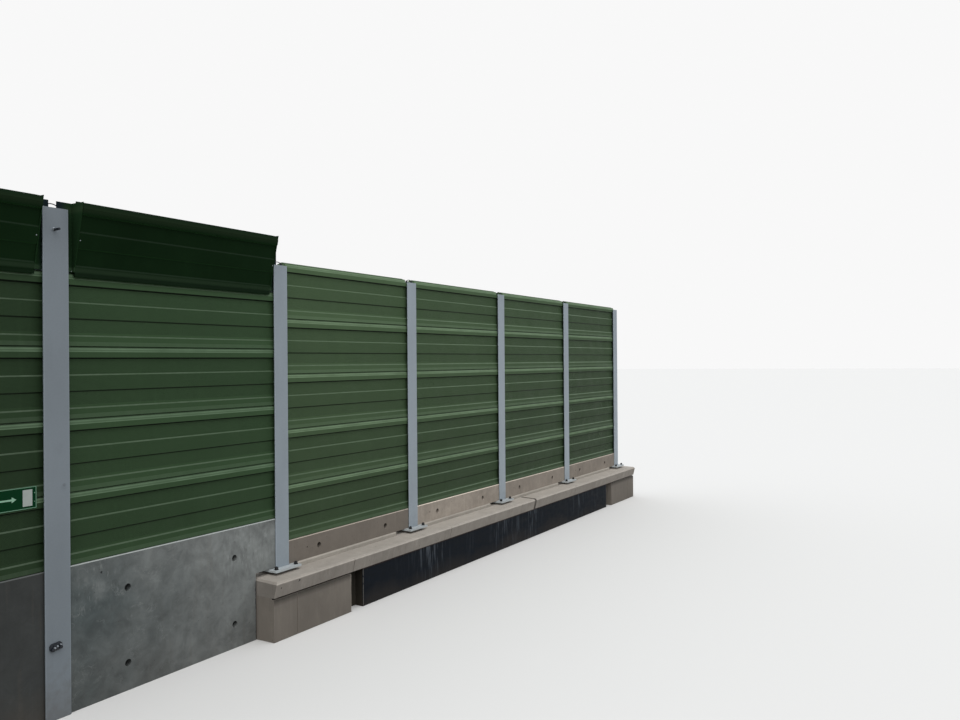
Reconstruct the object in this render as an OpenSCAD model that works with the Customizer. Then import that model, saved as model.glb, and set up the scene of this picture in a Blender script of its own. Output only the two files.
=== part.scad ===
// Noise barrier section: absorbing cassettes stacked between H posts.
// Millimetres. X runs along the barrier, -Y faces the track, +Z is up.
// The origin is the centre of the foot of post_1, at the lowest ground level.

/* [Barrier layout] */
// Number of bays founded in the ground
ground_bays = 2; // [1:1:3]
// Number of bays bolted down on the ledge
ledge_bays = 4; // [1:1:5]
// Post spacing of the ground bays
ground_pitch = 2100; // [1600:10:3000]
// Post spacing of the ledge bays
ledge_pitch = 2000; // [1600:10:3000]
// Number of upright cassettes in a ground bay
ground_rows = 4; // [2:1:6]
// Number of cassettes in a ledge bay
ledge_rows = 5; // [2:1:7]

/* [Ground posts, rolled H section] */
// Flange width
gp_width = 180; // [140:10:240]
// Section depth, front to back
gp_depth = 171; // [152:1:230]
// Flange thickness
gp_flange = 9.5; // [6:0.5:18]
// How far a ground post stops below the upper edge of the leaning cassettes
gp_below_lean = 44; // [30:1:300]

/* [Ledge posts, rolled H section] */
// Flange width
lp_width = 160; // [140:10:240]
// Section depth, front to back
lp_depth = 152; // [152:1:230]
// Flange thickness
lp_flange = 9; // [6:0.5:18]
// How far the topmost cassette stands above a ledge post
lp_below_top = 30; // [0:5:60]
// Gap between a ledge post and the corners cut from the topmost cassette
corner_gap = 6; // [2:1:20]

/* [Both H sections] */
// Web thickness
web = 6; // [5:0.5:12]
// Radius of the root between web and flange
root_r = 15; // [6:1:24]

/* [Cassettes] */
// Height that one cassette takes up in the stack
cassette_pitch = 500; // [400:10:600]
// Gap left at each joint between two cassettes
joint_gap = 2; // [1:0.5:4]
// Gap between a cassette's end and the web of the post
end_gap = 17; // [8:1:30]
// Y of the recessed bands of the front sheet
face_y = -36; // [-45:1:-20]
// Y of the back sheet
back_y = 50; // [30:1:58]
// How far the middle rib and lower rib stand out
rib_out = 8; // [4:1:12]
// How far the top edge of the front sheet stands out
lip_start = 8; // [0:1:12]
// How far the sloped upper lip stands out
upper_lip_out = 18; // [8:1:22]
// How far the sloped lower lip stands out
lower_lip_out = 16; // [8:1:20]
// Height of one slanted step between two bands
step_h = 10; // [4:1:14]
// Height of the slope at the top of the upper lip
upper_slope_h = 35; // [20:1:50]
// Height of the upright face of the upper lip
upper_face_h = 40; // [20:1:50]
// Height of the middle rib, without its steps
middle_rib_h = 113; // [60:1:140]
// Height of the lower rib's face
lower_rib_h = 46; // [20:1:70]
// Height of the slope at the foot of the lower rib
lower_slope_h = 30; // [20:1:50]
// Depth of the two beads in the back sheet
bead_deep = 7; // [2:1:12]
// Height of one bead at its mouth
bead_h = 60; // [30:1:90]
// Height of the tongue that enters the cassette above
tongue_h = 10; // [5:1:14]
// Thickness of the tongue
tongue_t = 42; // [20:1:60]

/* [Leaning top cassettes] */
// Lean towards the track, in degrees
lean = 13; // [0:1:25]
// Length along the slope
lean_len = 510; // [400:2:560]
// How far its front sheet hangs down in front of the upper lip below
lean_drop = 24; // [0:1:40]
// Thickness of that hanging edge
lean_skirt_t = 14; // [6:1:20]
// Gap between the hanging edge and the upper lip
lean_gap = 6; // [2:1:20]
// Gap between the cassette's end and the flange edge of the post
lean_end_gap = 53; // [20:1:90]
// How far the brackets that hold it rise above its upper edge
bracket_above = 9; // [0:1:12]
// Gap between a bracket and the web of the post
bracket_gap = 25; // [10:1:50]
// Y of the front face of a bracket's plate
bracket_y = -50; // [-60:1:-36]
// Sheet thickness of the brackets
bracket_t = 4; // [3:0.5:8]

/* [Plinth panels] */
// Height of the tall plinth panels in the ground bays
tall_panel_h = 1000; // [700:10:1400]
// Height of the low plinth panels on the ledge
low_panel_h = 210; // [150:10:400]
// Panel thickness
panel_t = 120; // [80:5:125]
// Y of the panel's front face
panel_y = -65; // [-66:1:-50]
// Chamfer of the top front edge
panel_chamfer = 6; // [2:1:12]
// Diameter of the lifting sockets
socket_d = 54; // [30:2:80]
// Depth of the lifting sockets
socket_deep = 45; // [20:5:80]
// Diameter of the small formwork hole
small_hole_d = 16; // [8:1:24]

/* [Ledge] */
// Height of the ledge's top at the posts' centre line
ledge_top = 525; // [350:5:900]
// Width of the ledge, front to back
ledge_w = 600; // [500:10:900]
// How far the ledge runs past its first and last post
ledge_over = 300; // [200:10:500]
// Fall of the top towards the track, rise over run
crossfall = 0.04; // [0:0.01:0.08]
// Height of the front edge
fascia_h = 135; // [80:5:250]
// How far the foot of the front edge stands back from its top
fascia_batter = 28; // [0:1:60]
// Chamfer of the top edges at the front and the ends
ledge_chamfer = 18; // [5:1:30]
// How far the end blocks stand back from the foot of the front edge
block_back = 4; // [0:1:20]
// Height of the shadow joint between an end block and the ledge
shadow_h = 16; // [5:1:25]
// Depth of that joint
shadow_deep = 25; // [10:1:40]
// Length of the plain block under each end
block_len = 1010; // [400:10:1400]
// Distance of the upright joint in a block from the ledge's end
block_joint = 280; // [100:10:900]
// Length of the deep recess beside each block
recess_len = 190; // [100:10:400]
// Depth of that recess
recess_deep = 110; // [40:5:160]
// How far the coated wall stands back from the foot of the front edge
coated_back = 17; // [5:1:60]
// Spacing of the joints in the front edge
form_pitch = 1700; // [800:50:3000]
// Width of an upright joint
form_joint_w = 6; // [3:1:15]
// Depth of an upright joint
form_joint_deep = 7; // [3:1:15]
// Distance of the movement joint from the first ledge post
move_joint_at = 4520; // [500:10:9000]
// Width of the movement joint
move_joint_w = 40; // [8:1:60]
// Depth of the movement joint
move_joint_deep = 40; // [10:5:60]

/* [Base plates] */
// Side of the square plate
plate_w = 310; // [260:5:400]
// Plate thickness
plate_t = 20; // [12:1:30]
// Levelling gap below the plate, at the posts' centre line
plate_gap = 20; // [10:1:40]
// Spacing of the anchors, both ways
anchor_pitch = 240; // [200:5:340]
// Diameter of the anchor holes
anchor_hole_d = 26; // [16:1:36]
// Side of the levelling pad under the plate
pad_w = 180; // [120:5:200]

/* [Sign and bonding leads] */
// Width of the escape-route sign
sign_w = 450; // [300:10:600]
// Height of the sign
sign_h = 146; // [100:2:250]
// Height of the sign's middle above the ground
sign_z = 1507; // [1200:1:1900]
// Thickness of the sign plate
sign_t = 2; // [1:0.5:4]
// Diameter of a bonding lead
lead_d = 7; // [5:1:12]
// How far a lead arches up between its lugs
lead_rise = 16; // [6:1:30]
// How far the lugs rise above the post's top
lug_up = 22; // [14:1:30]
// Distance of a lug from the post's centre
lug_reach = 46; // [38:1:60]
// Diameter of the lug at each end of a lead
lug_d = 20; // [14:1:24]

/* [Hidden] */
post_count = ground_bays + ledge_bays + 1;
first_ledge_post = ground_bays;
// Post 1 stands on the origin and post 0 to its left.
function post_x(i) = i <= ground_bays
    ? (i - 1) * ground_pitch
    : (ground_bays - 1) * ground_pitch + (i - ground_bays) * ledge_pitch;
ledge_x0 = post_x(first_ledge_post) - ledge_over;
ledge_x1 = post_x(post_count - 1) + ledge_over;
ledge_front = -ledge_w / 2;
function ledge_z(y) = ledge_top + crossfall * y;
fascia_top = ledge_z(ledge_front);
fascia_low = fascia_top - fascia_h;
fascia_foot = ledge_front + fascia_batter;
block_y = fascia_foot + block_back;
block_w = ledge_w / 2 - block_y;
plate_top = ledge_top + plate_gap + plate_t;
low_panel_top = plate_top + low_panel_h;
lp_top = low_panel_top + ledge_rows * cassette_pitch - lp_below_top;
lean_z = tall_panel_h + ground_rows * cassette_pitch;
lean_low_z = lean_z - lean_drop;
lean_cut_z = lean_z - joint_gap / 2 + tongue_h;
lean_top_z = lean_low_z + lean_len * cos(lean);
lean_skirt_y = face_y - upper_lip_out - lean_gap;
lean_foot_y = lean_skirt_y - lean_skirt_t;
bracket_top = lean_top_z + bracket_above;
gp_top = lean_top_z - gp_below_lean;
web_clear = web / 2 + end_gap;
strip_start = plate_w / 2 + 10;
strip_stop = plate_w / 2 + 160;
strip_proud = 12;
notch_gap = 5;
socket_inset = 0.24;
tongue_play = 2;
tongue_y = (face_y + back_y - tongue_t) / 2;
eps = 0.01;

green = [0.19, 0.27, 0.19];
dark_green = [0.06, 0.12, 0.07];
galvanised = [0.55, 0.58, 0.60];
concrete = [0.55, 0.54, 0.51];
coating = [0.07, 0.08, 0.11];

// A profile drawn in Y and Z, run along X from x0 to x1.
module along_x(x0, x1) {
    translate([x0, 0, 0])
        rotate([90, 0, 90])
            linear_extrude(height = x1 - x0)
                children();
}

// One of the two hollows of an H section, with rounded roots beside the web.
module h_hollow(width, depth, flange) {
    reach = width / 2 + 1;
    half = depth / 2 - flange;
    translate([web / 2 + root_r, -half])
        square([reach - web / 2 - root_r, 2 * half]);
    translate([web / 2, -half + root_r])
        square([root_r + eps, 2 * (half - root_r)]);
    for (s = [-1, 1])
        translate([web / 2 + root_r, s * (half - root_r)])
            circle(r = root_r, $fn = 48);
}

module h_section(width, depth, flange) {
    difference() {
        square([width, depth], center = true);
        h_hollow(width, depth, flange);
        mirror([1, 0])
            h_hollow(width, depth, flange);
    }
}

module ground_post(i) {
    color(galvanised)
        translate([post_x(i), 0, 0])
            linear_extrude(height = gp_top)
                h_section(gp_width, gp_depth, gp_flange);
}

module ledge_post(i) {
    color(galvanised)
        translate([post_x(i), 0, plate_top])
            linear_extrude(height = lp_top - plate_top)
                h_section(lp_width, lp_depth, lp_flange);
}

module base_plate(i) {
    color(galvanised)
        translate([post_x(i), 0, plate_top - plate_t])
            difference() {
                translate([-plate_w / 2, -plate_w / 2, 0])
                    cube([plate_w, plate_w, plate_t]);
                for (sx = [-1, 1], sy = [-1, 1])
                    translate([sx * anchor_pitch / 2, sy * anchor_pitch / 2, -1])
                        cylinder(d = anchor_hole_d, h = plate_t + 2, $fn = 32);
            }
}

// Front sheet from the top edge down to the joint below, as [out, height] pairs:
// sloped upper lip, recessed band, middle rib, recessed band, lower rib, sloped lower lip.
function sheet_steps(top) =
    let (
        lip_low = top - upper_slope_h - upper_face_h,
        rib_top = (top + middle_rib_h) / 2 + 3,
        rib_low = rib_top - middle_rib_h,
        slope_top = joint_gap / 2 + 3 + lower_slope_h,
        low_rib_top = slope_top + lower_rib_h
    ) [
        [lip_start, top],
        [upper_lip_out, top - upper_slope_h],
        [upper_lip_out, lip_low],
        [0, lip_low - step_h],
        [0, rib_top],
        [rib_out, rib_top - step_h],
        [rib_out, rib_low],
        [0, rib_low - step_h],
        [0, low_rib_top],
        [rib_out, low_rib_top - step_h],
        [rib_out, slope_top],
        [lower_lip_out, joint_gap / 2 + 3],
        [lower_lip_out - 2, joint_gap / 2]
    ];

// Back sheet from the foot up, with two shallow beads, as [in, height] pairs.
function back_steps(top) = [
    for (z = [top * 0.27, top * 0.73], p = [[0, -0.5], [1, -0.32], [1, 0.32], [0, 0.5]])
        [p[0] * bead_deep, z + p[1] * bead_h]
];

module cassette_profile() {
    top = cassette_pitch - joint_gap / 2;
    low = joint_gap / 2;
    front = [for (p = sheet_steps(top)) [face_y - p[0], p[1]]];
    back = [for (p = back_steps(top)) [back_y - p[0], p[1]]];
    difference() {
        union() {
            polygon(concat(front, [[back_y, low]], back, [[back_y, top]]));
            translate([tongue_y, top - eps])
                square([tongue_t, tongue_h + eps]);
        }
        translate([tongue_y - tongue_play, low - 1])
            square([tongue_t + 2 * tongue_play, tongue_h + joint_gap + 3]);
    }
}

// A stack of cassettes in bay i, with the lowest joint at height z0.
module cassette_stack(i, z0, rows) {
    for (k = [0 : rows - 1])
        translate([0, 0, z0 + k * cassette_pitch])
            along_x(post_x(i) + web_clear, post_x(i + 1) - web_clear)
                cassette_profile();
}

module ground_cassettes(i) {
    color(green)
        cassette_stack(i, tall_panel_h, ground_rows);
}

// The topmost cassette stands higher than the posts, so its corners are cut back beside them.
// At the last post, which ends the section and has no lead over it, the corner stays whole.
module ledge_cassettes(i) {
    reach = lp_width / 2 + corner_gap;
    color(green)
        difference() {
            cassette_stack(i, low_panel_top, ledge_rows);
            for (j = [i : min(i + 1, post_count - 2)])
                translate([post_x(j) - reach, -lp_depth / 2, lp_top - corner_gap])
                    cube([2 * reach, lp_depth, lp_below_top + tongue_h + 2 * corner_gap]);
        }
}

function lean_x0(i) = post_x(i) + gp_width / 2 + lean_end_gap;
function lean_x1(i) = post_x(i + 1) - lean_end_gap
    - (i + 1 < first_ledge_post ? gp_width : lp_width) / 2;

// The same front sheet on a body that leans over the stack: the body is cut level on the tongue
// below, and the front sheet hangs down before the upper lip.
module lean_profile() {
    depth = back_y - face_y + lower_lip_out;
    front = [for (p = sheet_steps(lean_len)) [lower_lip_out - p[0], p[1]]];
    back = [for (p = back_steps(lean_len)) [depth - p[0], p[1]]];
    difference() {
        translate([lean_foot_y, lean_low_z])
            rotate(lean)
                polygon(concat(front, [[depth, -lean_len / 4]], back, [[depth, lean_len]]));
        translate([-lean_len, lean_low_z - lean_len])
            square([2 * lean_len, lean_len]);
        translate([lean_skirt_y, lean_cut_z - lean_len])
            square([lean_len, lean_len]);
    }
}

module top_cassette(i) {
    color(dark_green)
        along_x(lean_x0(i), lean_x1(i))
            lean_profile();
}

// Bracket at one end of a leaning cassette: a plate in the post's groove and a leaning cheek.
module top_bracket(x_post, x_end) {
    side = sign(x_end - x_post);
    x_in = x_post + side * (web / 2 + bracket_gap);
    cheek = x_end - side * (bracket_t + 1);
    cheek_h = bracket_top - lean_cut_z;
    foot_y = lean_foot_y + lower_lip_out / 2 - (lean_cut_z - lean_low_z) * tan(lean);
    translate([min(x_in, cheek), bracket_y, lean_cut_z])
        cube([abs(cheek - x_in), bracket_t, cheek_h]);
    along_x(min(cheek, cheek + side * bracket_t), max(cheek, cheek + side * bracket_t))
        polygon([
            [foot_y, lean_cut_z],
            [foot_y - cheek_h * tan(lean), bracket_top],
            [bracket_y + bracket_t, bracket_top],
            [back_y, lean_cut_z + cheek_h / 3],
            [back_y, lean_cut_z]
        ]);
}

module top_brackets(i) {
    color(dark_green) {
        top_bracket(post_x(i), lean_x0(i));
        top_bracket(post_x(i + 1), lean_x1(i));
    }
}

module socket(x, z) {
    translate([x, panel_y - 1, z])
        rotate([-90, 0, 0])
            cylinder(d = socket_d, h = socket_deep + 1, $fn = 48);
}

module small_hole(x, z) {
    translate([x, panel_y - 1, z])
        rotate([-90, 0, 0])
            cylinder(d = small_hole_d, h = 31, $fn = 24);
}

module panel_bar(x0, x1, z0, z1) {
    along_x(x0, x1)
        polygon([
            [panel_y, z0],
            [panel_y, z1 - panel_chamfer],
            [panel_y + panel_chamfer, z1],
            [panel_y + panel_t, z1],
            [panel_y + panel_t, z0]
        ]);
}

// Tall panel that stands in the ground; the last one is cut out around the ledge.
module tall_plinth(i) {
    x0 = post_x(i) + web_clear;
    x1 = post_x(i + 1) - web_clear;
    inset = (x1 - x0) * (socket_inset + 0.015);
    color(concrete)
        difference() {
            panel_bar(x0, x1, 0, tall_panel_h);
            for (x = [x0 + inset, x1 - inset], z = [tall_panel_h * 0.2, tall_panel_h * 0.75])
                socket(x, z);
            small_hole(x0 + inset * 0.6, tall_panel_h - 95);
            if (i + 1 == first_ledge_post)
                translate([ledge_x0 - 10, panel_y - 50, -1])
                    cube([ledge_over + lp_width, panel_t + 100, plate_top + notch_gap + 1]);
        }
}

// Low panel that stands on the base plates and the bedding strip.
module low_plinth(i) {
    x0 = post_x(i) + web_clear;
    x1 = post_x(i + 1) - web_clear;
    inset = (x1 - x0) * socket_inset;
    z = plate_top + low_panel_h * 0.45;
    color(concrete)
        difference() {
            panel_bar(x0, x1, plate_top, low_panel_top);
            for (x = [x0 + inset, x1 - inset])
                socket(x, z);
            small_hole(x0 + inset * 0.66, z + 10);
        }
}

module ledge_profile() {
    polygon([
        [fascia_foot, fascia_low],
        [ledge_front, fascia_top - ledge_chamfer],
        [ledge_front + ledge_chamfer, ledge_z(ledge_front + ledge_chamfer)],
        [-ledge_front, ledge_z(-ledge_front)],
        [-ledge_front, fascia_low]
    ]);
}

// Joint cut to one depth into the front edge and its chamfer, or on over the whole top.
module ledge_joint(x, width, deep, over_top) {
    y_end = over_top ? ledge_w / 2 + 20 : ledge_front + 2 * ledge_chamfer;
    z_end = over_top ? ledge_z(y_end) - deep : fascia_top + 2 * ledge_chamfer;
    along_x(x - width / 2, x + width / 2)
        difference() {
            translate([ledge_front - 20, fascia_low - 20])
                square([ledge_w + 40, fascia_h + 80]);
            polygon([
                [fascia_foot + deep, fascia_low - 30],
                [fascia_foot + deep, fascia_low],
                [ledge_front + deep, fascia_top - max(deep, ledge_chamfer)],
                [y_end, z_end],
                [ledge_w / 2 + 40, z_end],
                [ledge_w / 2 + 40, fascia_low - 30]
            ]);
        }
}

module ledge() {
    first_joint = ledge_x0 + block_len + 20;
    joints = floor((ledge_x1 - 100 - first_joint) / form_pitch);
    cutter = 4 * ledge_chamfer;
    color(concrete)
        difference() {
            along_x(ledge_x0, ledge_x1)
                ledge_profile();
            for (k = [0 : joints])
                ledge_joint(first_joint + k * form_pitch, form_joint_w, form_joint_deep, false);
            ledge_joint(post_x(first_ledge_post) + move_joint_at, move_joint_w, move_joint_deep, true);
            for (s = [-1, 1])
                translate([s < 0 ? ledge_x0 : ledge_x1, 0, ledge_top])
                    rotate([atan(crossfall), 0, 0])
                        rotate([0, 45 * s, 0])
                            translate([-cutter / 2, -ledge_w, -ledge_chamfer / sqrt(2)])
                                cube([cutter, 2 * ledge_w, cutter]);
        }
}

// Plain block under one end of the ledge, with a shadow joint below the front edge.
module end_block(x0, x1, x_joint) {
    low_h = fascia_low - shadow_h;
    color(concrete)
        difference() {
            union() {
                translate([x0, block_y, 0])
                    cube([x1 - x0, block_w, low_h]);
                translate([x0, block_y + shadow_deep, low_h - eps])
                    cube([x1 - x0, block_w - shadow_deep, shadow_h + eps]);
            }
            translate([x_joint - form_joint_w / 2, block_y - 1, -1])
                cube([form_joint_w, form_joint_deep + 1, low_h + 2]);
        }
}

module end_block_left() {
    end_block(ledge_x0, ledge_x0 + block_len, ledge_x0 + block_joint);
}

module end_block_right() {
    end_block(ledge_x1 - block_len, ledge_x1, ledge_x1 - block_joint);
}

// Coated retaining wall, set back deeply for a short length beside each end block.
module coated_wall() {
    x0 = ledge_x0 + block_len;
    x1 = ledge_x1 - block_len;
    y = fascia_foot + coated_back;
    color(coating) {
        translate([x0, block_y + recess_deep, 0])
            cube([x1 - x0, block_w - recess_deep, fascia_low]);
        translate([x0 + recess_len, y, 0])
            cube([x1 - x0 - 2 * recess_len, block_y + recess_deep - y + 1, fascia_low]);
    }
}

module levelling_pads() {
    color(concrete)
        for (i = [first_ledge_post : post_count - 1])
            along_x(post_x(i) - pad_w / 2, post_x(i) + pad_w / 2)
                polygon([
                    [-pad_w / 2, ledge_z(-pad_w / 2)],
                    [-pad_w / 2, plate_top - plate_t],
                    [pad_w / 2, plate_top - plate_t],
                    [pad_w / 2, ledge_z(pad_w / 2)]
                ]);
}

// Bedding between the ledge and each low panel, stopped short of the next base plate.
module bedding_strips() {
    y0 = panel_y - strip_proud;
    y1 = panel_y + panel_t;
    color(concrete)
        for (i = [first_ledge_post : post_count - 2])
            along_x(post_x(i) + strip_start, post_x(i + 1) - strip_stop)
                polygon([
                    [y0, ledge_z(y0)],
                    [y0, plate_top - 12],
                    [panel_y - 1, plate_top],
                    [y1, plate_top],
                    [y1, ledge_z(y1)]
                ]);
}

// Lead that arches over post i between two lugs.
module bonding_lead(i, top) {
    lug_low = top - corner_gap;
    lug_top = top + lug_up;
    radius = (lug_reach * lug_reach + lead_rise * lead_rise) / (2 * lead_rise);
    sweep = 2 * asin(lug_reach / radius);
    translate([post_x(i), bracket_y + bracket_t + lug_d / 2, 0]) {
        translate([0, 0, lug_top - lead_d / 2 - 2 + lead_rise - radius])
            rotate([90, 0, 0])
                rotate([0, 0, 90 - sweep / 2])
                    rotate_extrude(angle = sweep, $fn = 180)
                        translate([radius, 0])
                            circle(d = lead_d, $fn = 20);
        for (s = [-1, 1])
            translate([s * lug_reach, 0, lug_low])
                cylinder(d = lug_d, h = lug_top - lug_low, $fn = 32);
    }
}

module bonding_leads() {
    color(coating)
        for (i = [1 : post_count - 2])
            bonding_lead(i, i < first_ledge_post ? gp_top : lp_top);
}

module escape_sign() {
    x1 = -gp_width / 2 - 36;
    y1 = face_y - max(upper_lip_out, lower_lip_out) - 1;
    color(green)
        translate([x1 - sign_w, y1 - sign_t, sign_z - sign_h / 2])
            cube([sign_w, sign_t, sign_h]);
}

ground_post(0);  // post_0
ground_post(1);  // post_1
ledge_post(2);  // post_2
ledge_post(3);  // post_3
ledge_post(4);  // post_4
ledge_post(5);  // post_5
ledge_post(6);  // post_6
base_plate(2);  // base_plate_2
base_plate(3);  // base_plate_3
base_plate(4);  // base_plate_4
base_plate(5);  // base_plate_5
base_plate(6);  // base_plate_6
ground_cassettes(0);  // cassettes_0
ground_cassettes(1);  // cassettes_1
ledge_cassettes(2);  // cassettes_2
ledge_cassettes(3);  // cassettes_3
ledge_cassettes(4);  // cassettes_4
ledge_cassettes(5);  // cassettes_5
top_cassette(0);  // top_cassette_0
top_cassette(1);  // top_cassette_1
top_brackets(0);  // top_brackets_0
top_brackets(1);  // top_brackets_1
tall_plinth(0);  // plinth_0
tall_plinth(1);  // plinth_1
low_plinth(2);  // plinth_2
low_plinth(3);  // plinth_3
low_plinth(4);  // plinth_4
low_plinth(5);  // plinth_5
ledge();
end_block_left();
end_block_right();
coated_wall();
levelling_pads();
bedding_strips();
bonding_leads();
escape_sign();
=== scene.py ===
"""Dresses the noise barrier: finishes for the solids, and the small fittings that they leave out.

Lengths are in metres, in the solids' frame: +X runs along the row, -Y faces the front, +Z is up."""

import math

import bmesh
import bpy
from mathutils import Color, Matrix, Vector


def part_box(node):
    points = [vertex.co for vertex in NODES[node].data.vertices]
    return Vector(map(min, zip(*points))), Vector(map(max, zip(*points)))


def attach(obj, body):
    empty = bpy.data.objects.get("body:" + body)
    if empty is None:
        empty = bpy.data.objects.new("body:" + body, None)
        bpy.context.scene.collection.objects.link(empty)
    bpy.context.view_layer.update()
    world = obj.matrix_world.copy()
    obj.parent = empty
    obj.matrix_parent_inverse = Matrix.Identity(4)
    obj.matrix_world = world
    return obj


bl_info = {
    "name": "Noise barrier dressing",
    "version": (1, 0, 0),
    "blender": (4, 5, 0),
    "location": "3D View > Sidebar > Barrier",
    "description": "Finishes and small fittings for a noise barrier section",
    "category": "Object",
}

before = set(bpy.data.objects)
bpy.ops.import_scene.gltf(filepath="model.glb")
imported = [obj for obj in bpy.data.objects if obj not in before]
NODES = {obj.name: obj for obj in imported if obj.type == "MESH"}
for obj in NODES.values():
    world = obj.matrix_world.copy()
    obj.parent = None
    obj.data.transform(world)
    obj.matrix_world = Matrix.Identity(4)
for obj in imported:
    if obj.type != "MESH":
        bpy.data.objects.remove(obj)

GROUND_POSTS = ("post_0", "post_1")
LEDGE_POSTS = tuple(f"post_{i}" for i in range(2, 7))
PLATES = tuple(f"base_plate_{i}" for i in range(2, 7))
GROUND_STACKS = ("cassettes_0", "cassettes_1")
LEDGE_STACKS = tuple(f"cassettes_{i}" for i in range(2, 6))
TOP_CASSETTES = ("top_cassette_0", "top_cassette_1")
BRACKETS = ("top_brackets_0", "top_brackets_1")

GROUND_PITCH = 2.1
LEDGE_PITCH = 2.0
FIRST_LEDGE_X = 2.1
# A row of posts or plates: x of one of them, their pitch, and half the width of a front face
GROUND_ROW = (0.0, GROUND_PITCH, 0.090)
LEDGE_ROW = (FIRST_LEDGE_X, LEDGE_PITCH, 0.080)
PLATE_ROW = (FIRST_LEDGE_X, LEDGE_PITCH, 0.155)

# Heights above the foot of each upright cassette, and of the painted highlights along its hem lines
CASSETTE_HEIGHT = 0.5
PERFORATED_BAND = (0.095, 0.410)
UPPER_HEM, LOWER_HEM, BETWEEN_HEMS = 0.485, 0.466, 0.477

# The leaning cassettes: their angle, the heights of the painted highlights on their two hem lines,
# and of the painted shade on the hanging edge below
LEAN = math.radians(13.0)
LEAN_UPPER_HEM, LEAN_LOWER_HEM = 3.436, 3.026
LEAN_SHADE = (3.006, 3.012)

EVEN = (1.0, 1.0, 1.0)
UNMOVED = (0.0, 0.0, 0.0)
SPLASHED_EARTH = (0.075, 0.062, 0.048)
GAP_SHADOW_COLOUR = (0.012, 0.012, 0.011)
COLOUR = {"subtype": "COLOR", "size": 3, "min": 0.0, "max": 1.0}


# Sizes, colours and stage

class BarrierSizes(bpy.types.PropertyGroup):
    fold_radius: bpy.props.FloatProperty(
        name="Fold radius", description="Radius of the folds in the cassette sheets",
        default=0.0013, min=0.0005, max=0.006, unit="LENGTH")
    steel_edge: bpy.props.FloatProperty(
        name="Steel edge", description="Rounding of the edges of posts and base plates",
        default=0.0018, min=0.0005, max=0.004, unit="LENGTH")
    concrete_edge: bpy.props.FloatProperty(
        name="Concrete edge", description="Rounding of the edges of the concrete pieces",
        default=0.004, min=0.001, max=0.01, unit="LENGTH")
    hole_pitch: bpy.props.FloatProperty(
        name="Perforation pitch", description="Spacing of the holes in the front sheets",
        default=0.009, min=0.005, max=0.02, unit="LENGTH")
    hole_radius: bpy.props.FloatProperty(
        name="Perforation radius", description="Radius of one hole in the front sheets",
        default=0.0024, min=0.001, max=0.004, unit="LENGTH")
    anchor_reach: bpy.props.FloatProperty(
        name="Anchor reach",
        description="Distance of each anchor from the post's centre, both ways",
        default=0.120, min=0.08, max=0.16, unit="LENGTH")
    stud_diameter: bpy.props.FloatProperty(
        name="Stud diameter", description="Diameter of the anchor studs",
        default=0.020, min=0.012, max=0.03, unit="LENGTH")
    nut_across: bpy.props.FloatProperty(
        name="Nut width", description="Width of the anchor nuts across the corners",
        default=0.0346, min=0.02, max=0.05, unit="LENGTH")
    weld_leg: bpy.props.FloatProperty(
        name="Weld leg", description="Leg of the weld between post and base plate",
        default=0.007, min=0.003, max=0.012, unit="LENGTH")
    rivet_diameter: bpy.props.FloatProperty(
        name="Rivet diameter", description="Diameter of a rivet head on the back sheets",
        default=0.012, min=0.006, max=0.02, unit="LENGTH")


class BarrierColours(bpy.types.PropertyGroup):
    post: bpy.props.FloatVectorProperty(
        name="Posts", description="Paint of the posts and the welds at their feet",
        default=(0.205, 0.235, 0.262), **COLOUR)
    plate: bpy.props.FloatVectorProperty(
        name="Base plates", description="Paint of the base plates",
        default=(0.42, 0.45, 0.46), **COLOUR)
    ground_cassette: bpy.props.FloatVectorProperty(
        name="Ground cassettes", description="Paint of the upright cassettes in the ground bays",
        default=(0.0425, 0.0820, 0.0368), **COLOUR)
    ledge_cassette: bpy.props.FloatVectorProperty(
        name="Ledge cassettes", description="Paint of the upright cassettes in the ledge bays",
        default=(0.0720, 0.1200, 0.0580), **COLOUR)
    top: bpy.props.FloatVectorProperty(
        name="Leaning cassettes", description="Paint of the leaning cassettes and their brackets",
        default=(0.0060, 0.0185, 0.0062), **COLOUR)
    tall_panel: bpy.props.FloatVectorProperty(
        name="Tall panels", description="Concrete of the tall plinth panels",
        default=(0.170, 0.179, 0.174), **COLOUR)
    low_panel: bpy.props.FloatVectorProperty(
        name="Low panels", description="Concrete of the low plinth panels",
        default=(0.235, 0.203, 0.172), **COLOUR)
    ledge: bpy.props.FloatVectorProperty(
        name="Ledge", description="Concrete of the ledge and its end blocks",
        default=(0.290, 0.262, 0.232), **COLOUR)
    coating: bpy.props.FloatVectorProperty(
        name="Wall coating", description="Bitumen coating of the wall below the ledge",
        default=(0.0070, 0.0095, 0.0135), **COLOUR)
    mortar: bpy.props.FloatVectorProperty(
        name="Mortar", description="Bedding strips and levelling pads",
        default=(0.330, 0.300, 0.262), **COLOUR)
    sheath: bpy.props.FloatVectorProperty(
        name="Lead sheath", description="Sheath of the bonding leads",
        default=(0.012, 0.013, 0.016), **COLOUR)
    fastener: bpy.props.FloatVectorProperty(
        name="Fasteners", description="Coated anchor studs and nuts",
        default=(0.010, 0.010, 0.011), **COLOUR)
    sign: bpy.props.FloatVectorProperty(
        name="Sign", description="Ground of the escape sign",
        default=(0.0010, 0.0300, 0.0095), **COLOUR)
    sign_mark: bpy.props.FloatVectorProperty(
        name="Sign marks", description="Pale marks of the escape sign",
        default=(0.60, 0.66, 0.62), **COLOUR)


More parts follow.
